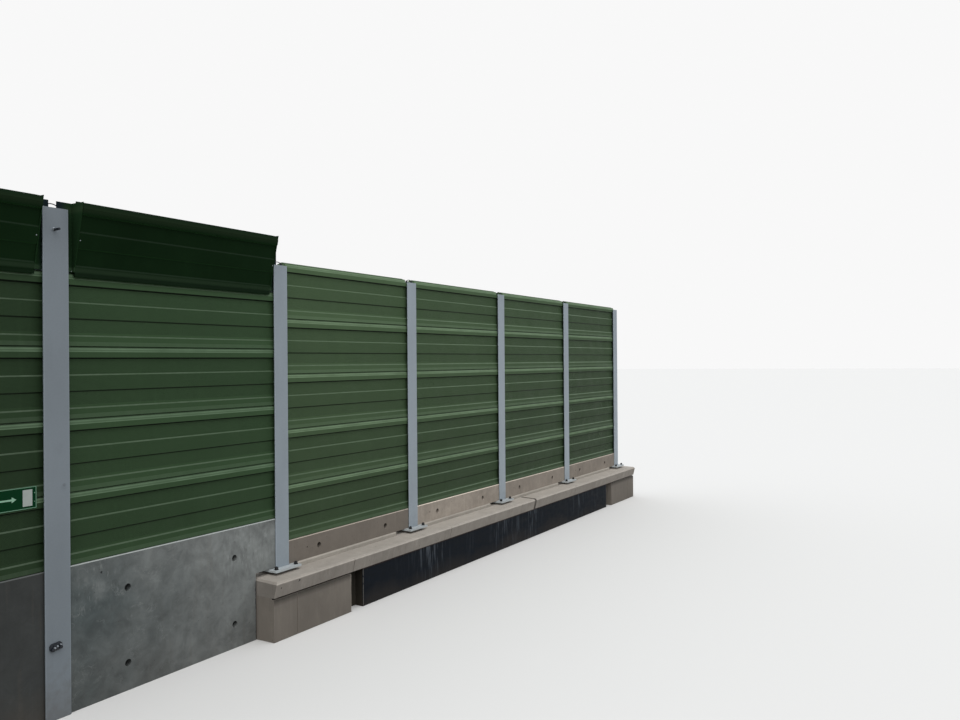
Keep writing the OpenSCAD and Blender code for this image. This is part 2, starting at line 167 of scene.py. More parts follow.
class BarrierStage(bpy.types.PropertyGroup):
    eye: bpy.props.FloatVectorProperty(
        name="Eye", description="Place of the camera", subtype="XYZ", unit="LENGTH", size=3,
        default=(-3.273, -5.3555, 2.38))
    heading: bpy.props.FloatProperty(
        name="Heading", description="Direction of view, turned from +X towards +Y",
        default=math.radians(30.902), subtype="ANGLE")
    tilt: bpy.props.FloatProperty(
        name="Tilt", description="Direction of view above the horizon",
        default=math.radians(0.067), subtype="ANGLE")
    roll: bpy.props.FloatProperty(
        name="Roll", description="Turn about the direction of view",
        default=math.radians(-0.425), subtype="ANGLE")
    focal_length: bpy.props.FloatProperty(
        name="Focal length", description="Focal length on a 36 mm wide sensor",
        default=30.825, min=10.0, max=200.0)
    floor: bpy.props.FloatVectorProperty(
        name="Floor", description="Colour of the floor as the camera sees it",
        default=(0.725, 0.712, 0.700), **COLOUR)
    bounce: bpy.props.FloatVectorProperty(
        name="Bounce", description="Colour of the light that the floor throws back",
        default=(0.26, 0.25, 0.24), **COLOUR)
    sky: bpy.props.FloatVectorProperty(
        name="Sky", description="Colour of the light from all round",
        default=(0.93, 0.97, 1.0), **COLOUR)
    sky_strength: bpy.props.FloatProperty(
        name="Sky strength", description="Strength of the light from all round",
        default=0.98, min=0.0, max=2.0)
    horizon: bpy.props.FloatProperty(
        name="Horizon",
        description="Strength of the light near the horizon, as a share of the sky's",
        default=0.36, min=0.0, max=1.0)
    key_strength: bpy.props.FloatProperty(
        name="Key strength", description="Strength of the soft lamp above the front",
        default=1.26, min=0.0, max=10.0)


GROUPS = {
    "barrier_sizes": BarrierSizes,
    "barrier_colours": BarrierColours,
    "barrier_stage": BarrierStage,
}


# Shader building blocks

class Finish:
    """One material, built up from nodes that read Object coordinates in metres."""

    def __init__(self, name, roughness, metallic=0.0, specular=0.4):
        self.material = bpy.data.materials.new(name)
        self.material.use_nodes = True
        self.tree = self.material.node_tree
        self.tree.nodes.clear()
        self.surface = self.node("ShaderNodeBsdfPrincipled")
        self.surface.inputs["Roughness"].default_value = roughness
        self.surface.inputs["Metallic"].default_value = metallic
        self.surface.inputs["Specular IOR Level"].default_value = specular
        output = self.node("ShaderNodeOutputMaterial")
        self.link(self.surface.outputs["BSDF"], output.inputs["Surface"])
        self.place = self.node("ShaderNodeTexCoord").outputs["Object"]
        self.x, self.y, self.z = self.split(self.place)

    def node(self, kind, **settings):
        made = self.tree.nodes.new(kind)
        for name, value in settings.items():
            setattr(made, name, value)
        return made

    def link(self, source, target):
        self.tree.links.new(source, target)

    def feed(self, socket, value):
        """Links a node's output to the socket, or sets a number or colour on it."""
        if isinstance(value, bpy.types.NodeSocket):
            self.link(value, socket)
        elif isinstance(value, (tuple, Color)):
            socket.default_value = (*value, 1.0)
        else:
            socket.default_value = value

    def split(self, vector):
        made = self.node("ShaderNodeSeparateXYZ")
        self.link(vector, made.inputs["Vector"])
        return made.outputs[:3]

    def facing(self):
        """The three parts of the surface's direction."""
        return self.split(self.node("ShaderNodeNewGeometry").outputs["Normal"])

    def calc(self, operation, first, second=0.0):
        made = self.node("ShaderNodeMath", operation=operation)
        self.feed(made.inputs[0], first)
        self.feed(made.inputs[1], second)
        return made.outputs[0]

    def plus(self, first, second):
        return self.calc("ADD", first, second)

    def minus(self, first, second):
        return self.calc("SUBTRACT", first, second)

    def times(self, first, *factors):
        for factor in factors:
            first = self.calc("MULTIPLY", first, factor)
        return first

    def distance(self, across, along):
        squared = self.plus(self.times(across, across), self.times(along, along))
        return self.calc("SQRT", squared)

    def level(self, value, low, high, to_low=0.0, to_high=1.0):
        """The value spread from one range to another and held at its ends."""
        made = self.node("ShaderNodeMapRange")
        for socket, number in zip(made.inputs, (value, low, high, to_low, to_high)):
            self.feed(socket, number)
        return made.outputs["Result"]

    def stretched(self, stretch, shift):
        made = self.node("ShaderNodeMapping")
        made.inputs["Scale"].default_value = stretch
        made.inputs["Location"].default_value = shift
        self.link(self.place, made.inputs["Vector"])
        return made.outputs["Vector"]

    def noise(self, size, detail=3.0, stretch=EVEN, shift=UNMOVED, rough=0.55, swirl=0.0):
        made = self.node("ShaderNodeTexNoise")
        made.inputs["Scale"].default_value = 1.0 / size
        made.inputs["Detail"].default_value = detail
        made.inputs["Roughness"].default_value = rough
        made.inputs["Distortion"].default_value = swirl
        self.link(self.stretched(stretch, shift), made.inputs["Vector"])
        return made.outputs["Fac"]

    def pores(self, size, radius, keep, shift):
        """Scattered round spots: 1 in a spot and 0 outside, where keep is the share of spots."""
        made = self.node("ShaderNodeTexVoronoi", feature="F1")
        made.inputs["Scale"].default_value = 1.0 / size
        self.link(self.stretched(EVEN, shift), made.inputs["Vector"])
        cell = self.node("ShaderNodeSeparateColor")
        self.link(made.outputs["Color"], cell.inputs["Color"])
        chosen = self.calc("LESS_THAN", cell.outputs["Red"], keep)
        own = self.level(cell.outputs["Green"], 0.0, 1.0, 0.35, 1.0)
        ratio = self.calc("DIVIDE", made.outputs["Distance"], self.times(own, radius / size))
        return self.times(self.level(ratio, 0.75, 1.15, 1.0, 0.0), chosen)

    def blend(self, amount, base, other):
        made = self.node("ShaderNodeMix", data_type="RGBA")
        self.feed(made.inputs["Factor"], amount)
        self.feed(made.inputs[6], base)
        self.feed(made.inputs[7], other)
        return made.outputs[2]

    def shade(self, colour, factor):
        """The colour made lighter or darker by a factor that varies over the surface."""
        made = self.node("ShaderNodeVectorMath", operation="SCALE")
        if isinstance(colour, bpy.types.NodeSocket):
            self.link(colour, made.inputs[0])
        else:
            made.inputs[0].default_value = colour
        self.feed(made.inputs["Scale"], factor)
        return made.outputs["Vector"]

    def stripe(self, value, middle, half, soft):
        """1 within half of the middle value, falling to 0 over the soft distance."""
        away = self.calc("ABSOLUTE", self.minus(value, middle))
        return self.level(away, half, half + soft, 1.0, 0.0)

    def spot(self, x, z, radius):
        """1 near one place on a front face, falling to 0 at the radius."""
        away = self.distance(self.minus(self.x, x), self.minus(self.z, z))
        return self.level(away, radius * 0.3, radius, 1.0, 0.0)

    def relief(self, height, depth, below=None):
        made = self.node("ShaderNodeBump")
        made.inputs["Distance"].default_value = depth
        self.link(height, made.inputs["Height"])
        if below is not None:
            self.link(below, made.inputs["Normal"])
        return made.outputs["Normal"]

    def finish(self, colour, roughness=None, normal=None):
        self.feed(self.surface.inputs["Base Color"], colour)
        if roughness is not None:
            self.link(roughness, self.surface.inputs["Roughness"])
        if normal is not None:
            self.link(normal, self.surface.inputs["Normal"])
        return self.material


def grown(colour, factor):
    """The colour times one factor, or times one factor for each channel."""
    factors = factor if isinstance(factor, tuple) else (factor,) * 3
    return tuple(min(1.0, c * f) for c, f in zip(colour, factors))


# Finishes

def post_paint(name, colour, foot_z, row, foot_dirt=0.42, changes=()):
    """Satin paint on galvanised steel: clouds, scuffs, painted highlights along the flange edges,
    dirt above the foot.
    """
    first_x, pitch, half = row
    made = Finish(name, 0.46, specular=0.45)
    clouds = made.level(made.noise(0.55, 3.0, (1.0, 1.0, 0.35)), 0.3, 0.7, 0.90, 1.10)
    grain = made.level(made.noise(0.012, 2.0), 0.2, 0.8, 0.965, 1.035)
    paint = made.shade(colour, made.times(clouds, grain))
    runs = made.noise(0.05, 4.0, (1.0, 1.0, 0.05), (3.0, 1.0, 0.0))
    paint = made.blend(made.level(runs, 0.60, 0.78, 0.0, 0.22), paint, grown(colour, 0.62))
    scuffs = made.noise(0.028, 4.0, (1.0, 1.0, 0.45), (7.0, 0.0, 2.0), 0.7)
    patches = made.noise(0.42, 2.0, shift=(1.0, 5.0, 0.0))
    scuffed = made.times(made.level(scuffs, 0.63, 0.72), made.level(patches, 0.55, 0.68), 0.45)
    paint = made.blend(scuffed, paint, grown(colour, 0.55))
    # Painted highlight: a paler line along the outer edges of each flange
    turns = made.calc("FLOORED_MODULO", made.plus(made.x, pitch / 2 - first_x), pitch)
    across = made.calc("ABSOLUTE", made.minus(turns, pitch / 2))
    pale_edge_mask = made.times(made.stripe(across, half, 0.004, 0.003), 0.40)
    paint = made.blend(pale_edge_mask, paint, grown(colour, 1.5))
    for change in changes:
        paint = change(made, paint, colour)
    splash = made.level(made.noise(0.05, 4.0, shift=(0.0, 2.0, 9.0)), 0.3, 0.7, -0.10, 0.10)
    height = made.plus(made.minus(made.z, foot_z), splash)
    paint = made.blend(made.level(height, 0.02, 0.34, foot_dirt, 0.0), paint, SPLASHED_EARTH)
    rough = made.level(made.noise(0.09, 3.0), 0.3, 0.7, 0.38, 0.55)
    orange_peel = made.noise(0.004, 1.0)
    return made.finish(paint, rough, made.relief(orange_peel, 0.00012))


def perforation(made, foot_z):
    """Staggered round holes on the front bands of stacked cassettes: 1 in a hole and 0 outside.

    The second value is the height above the foot of each cassette."""
    sizes = bpy.context.scene.barrier_sizes
    hole_pitch, radius = sizes.hole_pitch, sizes.hole_radius
    row_pitch = hole_pitch * math.sqrt(0.75)
    run = made.calc("DIVIDE", made.x, hole_pitch)
    rise = made.calc("DIVIDE", made.z, row_pitch)
    half_turn = made.times(made.calc("FLOORED_MODULO", made.calc("FLOOR", rise), 2.0), 0.5)
    across = made.times(made.minus(made.calc("FRACT", made.plus(run, half_turn)), 0.5), hole_pitch)
    along = made.times(made.minus(made.calc("FRACT", rise), 0.5), row_pitch)
    hole = made.level(made.distance(across, along), radius * 0.82, radius * 1.18, 1.0, 0.0)
    within = made.calc("FLOORED_MODULO", made.minus(made.z, foot_z), CASSETTE_HEIGHT)
    low, high = PERFORATED_BAND
    band = made.times(made.calc("GREATER_THAN", within, low), made.calc("LESS_THAN", within, high))
    front = made.calc("LESS_THAN", made.facing()[1], -0.85)
    return made.times(hole, made.times(band, front)), within


def sheet_paint(name, colour, foot_z, bay_pitch, tones, foot_tone):
    """Green paint on perforated sheet: each cassette a little different, dusty lips with painted
    sky light, painted highlights along the hem lines and painted shade on the undersides.

    The tones are the places along X where the paint's tone is known, each with its factor."""
    made = Finish(name, 0.50, specular=0.09)
    hole, within = perforation(made, foot_z)
    course = made.calc("FLOOR", made.calc("DIVIDE", made.minus(made.z, foot_z), CASSETTE_HEIGHT))
    bay = made.calc("FLOOR", made.calc("DIVIDE", made.x, bay_pitch))
    draw = made.node("ShaderNodeTexWhiteNoise", noise_dimensions="2D")
    corner = made.node("ShaderNodeCombineXYZ")
    made.link(course, corner.inputs["X"])
    made.link(bay, corner.inputs["Y"])
    made.link(corner.outputs["Vector"], draw.inputs["Vector"])
    own = made.level(draw.outputs["Value"], 0.0, 1.0, 0.96, 1.04)
    clouds = made.level(made.noise(0.9, 3.0, (1.0, 1.0, 0.6)), 0.3, 0.7, 0.95, 1.05)
    # Darker towards the foot of the stack, and a tone that changes along the row
    tone_by_height_and_row = made.level(made.z, 0.9, 3.0, foot_tone, 1.05)
    for (x0, first), (x1, second) in zip(tones, tones[1:]):
        tone_by_height_and_row = made.times(tone_by_height_and_row, made.level(made.x, x0, x1, 1.0, second / first))
    paint = made.shade(colour, made.times(own, tone_by_height_and_row, tones[0][1], clouds))
    runs = made.noise(0.045, 4.0, (1.0, 1.0, 0.06), (2.0, 0.0, 5.0))
    paint = made.blend(made.level(runs, 0.56, 0.76, 0.0, 0.10), paint, grown(colour, 1.6))
    dull = made.noise(0.16, 4.0, (1.0, 1.0, 0.4), (5.0, 3.0, 1.0))
    paint = made.blend(made.level(dull, 0.55, 0.78, 0.0, 0.12), paint, (0.052, 0.080, 0.045))
    # Dust, and painted sky light: faces that look up are painted paler, more so towards the far end
    # of the row
    up = made.facing()[2]
    patchy_dust_and_light = made.level(made.noise(0.06, 4.0), 0.3, 0.7, 0.26, 0.50)
    dust_and_painted_sky_light = made.shade((0.140, 0.180, 0.130), made.level(made.x, 2.5, 8.0, 1.0, 2.1))
    paint = made.blend(made.times(made.level(up, 0.10, 0.7), patchy_dust_and_light), paint, dust_and_painted_sky_light)
    # Painted highlights: pale lines along the hem lines of the lips, where the folds catch the
    # light
    hem_highlights = made.calc(
        "MAXIMUM", made.stripe(within, UPPER_HEM, 0.004, 0.003),
        made.stripe(within, LOWER_HEM, 0.002, 0.003))
    between_hem_highlight = made.times(made.stripe(within, BETWEEN_HEMS, 0.012, 0.004), 0.45)
    hem_highlights = made.calc("MAXIMUM", hem_highlights, between_hem_highlight)
    hem_highlights = made.times(hem_highlights, made.level(made.noise(0.25, 3.0), 0.35, 0.65, 0.60, 1.0))
    pale = tuple(0.05 + 1.7 * c for c in colour)
    paint = made.blend(made.times(hem_highlights, made.level(up, -0.1, 0.05)), paint, pale)
    # Painted shade: faces that look down are painted nearly black
    under = made.times(made.level(up, -0.25, -0.7), 0.96)
    paint = made.blend(under, paint, grown(colour, 0.06))
    paint = made.blend(made.times(hole, 0.75), paint, grown(colour, 0.18))
    rough = made.level(made.noise(0.2, 3.0), 0.3, 0.7, 0.46, 0.60)
    dents = made.relief(made.noise(0.35, 2.0, (1.0, 1.0, 0.7)), 0.004)
    return made.finish(paint, rough, made.relief(made.minus(1.0, hole), 0.0012, dents))


def dark_sheet_paint(name, colour, at_posts=None):
    """The dark green paint of the plain sheets, and another tone behind the posts' flanges. Painted
    light on the faces that turn up and on the steep undersides, painted highlights along both hem
    lines, and painted shade on the hanging edge.
    """
    made = Finish(name, 0.55, specular=0.02)
    paint = made.shade(colour, made.level(made.noise(0.8, 3.0), 0.3, 0.7, 0.82, 1.18))
    dull = made.noise(0.12, 4.0, (1.0, 1.0, 0.5), (2.0, 4.0, 0.0))
    paint = made.blend(made.level(dull, 0.52, 0.76, 0.0, 0.16), paint, grown(colour, 2.0))
    up = made.facing()[2]
    # Painted light: faces that turn up are painted paler, and the steep undersides lighter against
    # their shade
    paint = made.blend(made.level(up, -0.20, 0.05, 0.0, 0.30), paint, (0.017, 0.028, 0.018))
    paint = made.blend(made.level(up, 0.1, 0.7, 0.0, 0.22), paint, (0.040, 0.055, 0.038))
    paint = made.blend(made.level(up, -0.45, -0.8, 0.0, 0.85), paint, grown(colour, 2.8))
    # Painted highlights along the two hem lines
    upper_hem_highlight = made.stripe(made.z, LEAN_UPPER_HEM, 0.010, 0.022)
    lower_hem_highlight = made.stripe(made.z, LEAN_LOWER_HEM, 0.008, 0.014)
    paint = made.blend(upper_hem_highlight, paint, grown(colour, (2.1, 1.35, 1.8)))
    paint = made.blend(lower_hem_highlight, paint, grown(colour, (3.2, 2.0, 3.0)))
    # Painted shade on the hanging edge below
    paint = made.shade(paint, made.level(made.z, *LEAN_SHADE, 0.72, 1.0))
    if at_posts:
        from_post = made.calc("PINGPONG", made.x, GROUND_PITCH / 2)
        paint = made.blend(made.level(from_post, 0.050, 0.105, 1.0, 0.0), paint, at_posts)
    rough = made.level(made.noise(0.15, 3.0), 0.3, 0.7, 0.50, 0.68)
    return made.finish(paint, rough, made.relief(made.noise(0.3, 2.0), 0.003))


# Each of these changes one thing about a finish: it takes the finish, its colour so far and its
# own colour, and gives the new colour.

def stains(*spots):
    """Soft broken stains on the front, each with x, z, radius, amount and tone."""
    def change(made, body, colour):
        for x, z, radius, amount, factor in spots:
            torn = made.noise(radius * 0.35, 4.0, shift=(x, 0.0, z))
            mask = made.times(made.spot(x, z, radius), made.level(torn, 0.32, 0.62, 0.35, 1.0))
            body = made.blend(made.times(mask, amount), body, grown(colour, factor))
        return body
    return change


def swirls(strength, shift, grain=1.0):
    """Cloudy curls and thin pale wisps, as smooth forms leave them."""
    x, _, z = shift

    def change(made, body, colour):
        curls = made.noise(0.13 * grain, 7.0, shift=(x + 1.0, 0.0, z), rough=0.62, swirl=0.45)
        body = made.shade(body, made.level(curls, 0.34, 0.66, 1.0 - strength, 1.0 + strength))
        wisps = made.noise(0.16 * grain, 6.0, (1.0, 1.0, 1.3), (x, 0.0, z + 6.0), 0.66, 0.7)
        ridge = made.level(made.calc("ABSOLUTE", made.minus(wisps, 0.5)), 0.0, 0.022, 1.0, 0.0)
        broken = made.level(made.noise(0.13, 5.0, shift=(x + 2.0, 0.0, 3.0)), 0.50, 0.70)
        mask = made.times(ridge, broken, strength * 2.4)
        return made.blend(mask, body, grown(colour, 1.7))
    return change


def painted_top_highlight(top_z):
    """A painted highlight: a pale strip on the up-facing faces along the top of a panel."""
    def change(made, body, colour):
        up = made.level(made.facing()[2], 0.35, 0.8)
        mask = made.times(up, made.level(made.z, top_z - 0.014, top_z - 0.010), 0.9)
        return made.blend(mask, body, grown(colour, 2.8))
    return change


def painted_socket_shade(front_y):
    """Painted shade inside the holes and recesses that are sunk into the front, less on faces
    turned towards the light.
    """
    def change(made, body, colour):
        mask = made.stripe(made.y, front_y + 0.028, 0.019, 0.004)
        turn = made.facing()
        lit = made.level(made.minus(turn[2], turn[0]), 0.5, 1.3, 0.85, 0.20)
        return made.blend(made.times(mask, lit), body, grown(colour, 0.18))
    return change


def painted_gap_shadow(x, top_z):
    """A torn dark line of painted shadow where another piece butts against the front, up to its
    top.
    """
    def change(made, body, colour):
        torn = made.level(made.noise(0.03, 4.0, shift=(0.0, 0.0, 5.0)), 0.3, 0.7, -0.004, 0.005)
        gap = made.stripe(made.plus(made.x, torn), x, 0.006, 0.003)
        gap = made.times(gap, made.level(made.z, top_z - 0.002, top_z, 0.95, 0.0))
        return made.blend(gap, body, GAP_SHADOW_COLOUR)
    return change


def drift(axis, start, end, factor):
    """The tone drifts along X or up Z, from 1 at the start to the factor at the end."""
    def change(made, body, colour):
        along = made.x if axis == "X" else made.z
        return made.shade(body, made.level(along, start, end, 1.0, factor))
    return change


def upright_drips(x, z, radius, amount, shift):
    """Short pale and dark drips around one place on the front."""
    def change(made, body, colour):
        drips = made.noise(0.030, 5.0, (1.0, 1.0, 0.32), shift, 0.62)
        patchy = made.level(made.noise(0.11, 4.0, shift=shift), 0.44, 0.62, 0.15, 1.0)
        mask = made.times(made.spot(x, z, radius), patchy, amount)
        pale = made.times(made.level(drips, 0.54, 0.66), mask)
        dark = made.times(made.level(drips, 0.46, 0.34), mask)
        body = made.blend(pale, body, grown(colour, 2.0))
        return made.blend(dark, body, grown(colour, 0.55))
    return change


def shaded_below(z, deep):
    """Painted shade in the joint under an overhang, fading out below it."""
    def change(made, body, colour):
        near = made.level(made.z, z - deep, z, 0.0, 0.72)
        near = made.calc("MAXIMUM", near, made.level(made.z, z, z + 0.001, 0.0, 0.88))
        near = made.times(near, made.level(made.facing()[1], -0.5, -0.9))
        return made.shade(body, made.minus(1.0, near))
    return change


def dirty_joint(x, half, factor):
    """Dirt in and along an upright joint at one x."""
    def change(made, body, colour):
        dirt = made.level(made.noise(0.05, 4.0, shift=(x, 0.0, 0.0)), 0.30, 0.60, 0.65, 1.0)
        mask = made.times(made.stripe(made.x, x, half, half * 0.5), dirt)
        return made.blend(mask, body, grown(colour, factor))
    return change


def painted_end_light(factor):
    """Painted light and shade on the faces that look along the row: lighter by a factor above 1,
    darker by one below it.
    """
    def change(made, body, colour):
        side = made.level(made.calc("ABSOLUTE", made.facing()[0]), 0.5, 0.9, 1.0, factor)
        return made.shade(body, side)
    return change


def pale_arris(axis, at, half, amount, factor):
    """A pale edge at one x or z of the front, broken into patches."""
    def change(made, body, colour):
        where = made.x if axis == "X" else made.z
        pale_edge_mask = made.level(made.noise(0.06, 4.0, shift=(at, 0.0, 0.0)), 0.34, 0.56, 0.3, 1.0)
        front = made.level(made.facing()[1], -0.3, -0.6)
        mask = made.times(made.stripe(where, at, half, 0.004), pale_edge_mask, front, amount)
        return made.blend(mask, body, grown(colour, factor))
    return change


def cast_concrete(name, colour, mottle, streak, shift, foot_z=0.0, foot_dark=0.35,
                  warm=(0.15, 0.12, 0.09), paler_top=0.12, changes=()):
    """Concrete cast in smooth forms: clouds, paler laitance, streaks, pores and a damp foot."""
    x, y, z = shift
    made = Finish(name, 0.82, specular=0.25)
    clouds = made.noise(0.34, 6.0, (1.0, 1.0, 0.8), shift, 0.62)
    broad = made.noise(1.3, 3.0, shift=shift)
    tone = made.times(
        made.level(clouds, 0.28, 0.72, 1.0 - mottle, 1.0 + mottle),
        made.level(broad, 0.3, 0.7, 1.0 - mottle * 0.6, 1.0 + mottle * 0.6),
        made.level(made.noise(0.006, 3.0, shift=shift), 0.2, 0.8, 0.93, 1.07))
    body = made.shade(colour, tone)
    runs = made.noise(0.055, 5.0, (1.0, 1.0, 0.09), shift, 0.6)
    body = made.blend(made.level(runs, 0.54, 0.74, 0.0, streak), body, grown(colour, 1.55))
    drips = made.noise(0.04, 5.0, (1.0, 1.0, 0.07), (x + 4.0, y, z + 2.0), 0.6)
    body = made.blend(made.level(drips, 0.56, 0.76, 0.0, streak), body, warm)
    bloom = made.noise(0.10, 6.0, (1.0, 1.0, 0.6), (x + 9.0, 0.0, 1.0), 0.68)
    body = made.blend(made.level(bloom, 0.60, 0.72, 0.0, mottle * 1.1), body, grown(colour, 1.8))
    # Faces that look up are made paler by this share
    up = made.level(made.facing()[2], 0.35, 0.9, 0.0, paler_top)
    body = made.blend(up, body, grown(colour, 1.35))
    for change in changes:
        body = change(made, body, colour)
    height = made.plus(made.minus(made.z, foot_z), made.level(clouds, 0.3, 0.7, -0.12, 0.12))
    body = made.blend(made.level(height, 0.0, 0.30, foot_dark, 0.0), body, grown(warm, 0.6))
    pits = made.calc(
        "MAXIMUM", made.pores(0.045, 0.0042, 0.42, shift), made.pores(0.016, 0.0013, 0.40, shift))
    body = made.blend(made.times(pits, 0.72), body, grown(warm, 0.35))
    fine = made.relief(made.noise(0.004, 3.0), 0.0004)
    return made.finish(body, None, made.relief(made.minus(1.0, pits), 0.0018, fine))


def bitumen(name, colour, face_y, top_z, arris_x, lime_x):
    """Brushed bitumen on the front, with lime runs, pale arrises and a band of painted shade at its
    top; uncoated concrete behind it, painted dark as shade where it is set back from the front.

    The arrises are at each arris_x. Lime runs thicken at each lime_x, given with its half width."""
    made = Finish(name, 0.62, specular=0.05)
    brush = made.noise(0.05, 5.0, (0.35, 1.0, 1.0), rough=0.65)
    body = made.shade(colour, made.level(brush, 0.25, 0.75, 0.65, 1.45))
    runs = made.noise(0.03, 5.0, (1.0, 1.0, 0.10), (2.0, 0.0, 0.0), 0.62)
    patch = made.noise(0.55, 3.0, (1.0, 1.0, 0.5), (3.3, 0.0, 0.0))
    where = made.level(patch, 0.50, 0.72, 0.02, 0.35)
    for x, half in lime_x:
        near = made.times(made.stripe(made.x, x, half * 0.4, half), 0.75)
        where = made.calc("MAXIMUM", where, near)
    high = made.level(made.z, 0.05, 0.34, 0.25, 1.0)
    lime = made.times(made.level(runs, 0.50, 0.66), where, high)
    body = made.blend(lime, body, (0.105, 0.120, 0.140))
    front = made.level(made.facing()[1], -0.5, -0.9)
    for x in arris_x:
        broken = made.level(made.noise(0.05, 4.0, shift=(x, 0.0, 0.0)), 0.36, 0.5)
        mask = made.times(made.stripe(made.x, x, 0.005, 0.006), made.times(broken, front), 0.8)
        body = made.blend(mask, body, (0.19, 0.18, 0.165))
    # Painted shade: a brownish band at the top stands in for the shaded bottom edge of the fascia
    # above
    painted_shade_band = made.times(made.level(made.z, top_z - 0.022, top_z - 0.012), 0.8)
    body = made.blend(painted_shade_band, body, (0.060, 0.040, 0.038))
    # Painted shade: faces set back from the front get a dark concrete colour
    bare_concrete_shade = made.times(made.level(made.y, face_y + 0.006, face_y + 0.012), 0.85)
    body = made.blend(bare_concrete_shade, body, (0.040, 0.035, 0.027))
    clouds = made.level(made.noise(0.22, 6.0, rough=0.62), 0.3, 0.7, 0.78, 1.22)
    cast = made.shade((0.165, 0.150, 0.130), clouds)
    body = made.blend(made.level(made.facing()[1], 0.5, 0.9), body, cast)
    height = made.plus(made.z, made.level(patch, 0.3, 0.7, -0.08, 0.08))
    body = made.blend(made.level(height, 0.0, 0.16, 0.22, 0.0), body, (0.085, 0.068, 0.052))
    rough = made.level(brush, 0.3, 0.7, 0.45, 0.72)
    return made.finish(body, rough, made.relief(brush, 0.0022))


def plain_finish(name, colour, roughness, metallic=0.0, specular=0.4, size=0.01, spread=0.2,
                 depth=0.0003):
    """A small part's finish: its colour with clouds of one size and spread, and a fine surface."""
    made = Finish(name, roughness, metallic, specular)
    clouds = made.noise(size, 4.0)
    body = made.shade(colour, made.level(clouds, 0.25, 0.75, 1.0 - spread, 1.0 + spread))
    duller, brighter = min(1.0, roughness + 0.1), max(0.05, roughness - 0.08)
    rough = made.level(clouds, 0.3, 0.7, brighter, duller)
    return made.finish(body, rough, made.relief(clouds, depth))


# Modelling steps

def deselect():
    if bpy.context.object and bpy.context.object.mode != "OBJECT":
        bpy.ops.object.mode_set(mode="OBJECT")
    bpy.ops.object.select_all(action="DESELECT")


def pick(*pieces):
    """Selects only these pieces, the first one active."""
    deselect()
    for piece in pieces:
        piece.select_set(True)
    bpy.context.view_layer.objects.active = pieces[0]


def bake_place(piece):
    """Moves the piece's place, turn and scale into its mesh."""
    pick(piece)
    bpy.ops.object.transform_apply(location=True, rotation=True, scale=True)
    return piece


def new_slab(at, size):
    """A cube drawn out to a size, with its middle at a place."""
    deselect()
    bpy.ops.mesh.primitive_cube_add(size=1.0, location=at)
    made = bpy.context.object
    made.scale = size
    return bake_place(made)


def copy_at(piece, offset):
    pick(piece)
    bpy.ops.object.duplicate(linked=False)
    made = bpy.context.object
    made.location = offset
    return bake_place(made)


def join(name, *pieces):
    """Makes one piece of them all, and names it and its mesh."""
    pick(*pieces)
    if len(pieces) > 1:
        bpy.ops.object.join()
    made = bpy.context.object
    made.name = name
    made.data.name = name
    return made


def hand_over(piece, material):
    """Gives a finished piece its material, and lets it ride on the body."""
    piece.data.materials.clear()
    piece.data.materials.append(material)
    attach(piece, "root")


def smooth(piece, degrees=35.0):
    pick(piece)
    bpy.ops.object.shade_smooth_by_angle(angle=math.radians(degrees))
    return piece


def edit(piece):
    """Opens the piece in edit mode with all of it selected."""
    pick(piece)
    bpy.ops.object.mode_set(mode="EDIT")
    bpy.ops.mesh.select_all(action="SELECT")


def close(piece):
    """Turns all faces outward and leaves edit mode."""
    bpy.ops.mesh.select_all(action="SELECT")
    bpy.ops.mesh.normals_make_consistent(inside=False)
    bpy.ops.object.mode_set(mode="OBJECT")
    return piece


def select_faces(test):
    """In edit mode, selects only the faces whose normal and centre pass the test."""
    bpy.ops.mesh.select_mode(type="FACE")
    bpy.ops.mesh.select_all(action="DESELECT")
    mesh = bpy.context.edit_object.data
    form = bmesh.from_edit_mesh(mesh)
    for face in form.faces:
        face.select_set(test(face.normal, face.calc_center_median()))
    bmesh.update_edit_mesh(mesh)


def extrude(move):
    bpy.ops.mesh.extrude_region_move(TRANSFORM_OT_translate={"value": move})


def resize(factors, centre=UNMOVED):
    bpy.ops.transform.resize(value=factors, center_override=tuple(centre))


def bevel_piece(piece, width, segments=2, angle=30.0):
    pick(piece)
    step = piece.modifiers.new("Edge", "BEVEL")
    step.width = width
    step.segments = segments
    step.limit_method = "ANGLE"
    step.angle_limit = math.radians(angle)
    bpy.ops.object.modifier_apply(modifier=step.name)
    return piece


def dress(node, material):
    materials = NODES[node].data.materials
    materials.clear()
    materials.append(material)


def dress_all(nodes, material, edge_width, flat=False):
    """Gives carried-over solids a material, and rounds their edges with live modifiers.

    Their own meshes are left alone. Where flat is set, level faces are made whole first."""
    for node in nodes:
        dress(node, material)
        solid = NODES[node]
        weld = solid.modifiers.new("Merge", "WELD")
        weld.merge_threshold = 0.00002
        if flat:
            plane = solid.modifiers.new("Flat", "DECIMATE")
            plane.decimate_type = "DISSOLVE"
            plane.angle_limit = math.radians(0.5)
        edge = solid.modifiers.new("Edge", "BEVEL")
        edge.width = edge_width
        edge.segments = 2
        edge.limit_method = "ANGLE"
        edge.angle_limit = math.radians(25.0)
        edge.harden_normals = True
        edge.miter_outer = "MITER_ARC"


def middle_x(node):
    low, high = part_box(node)
    return (low.x + high.x) / 2


# Operators: the solids' finishes

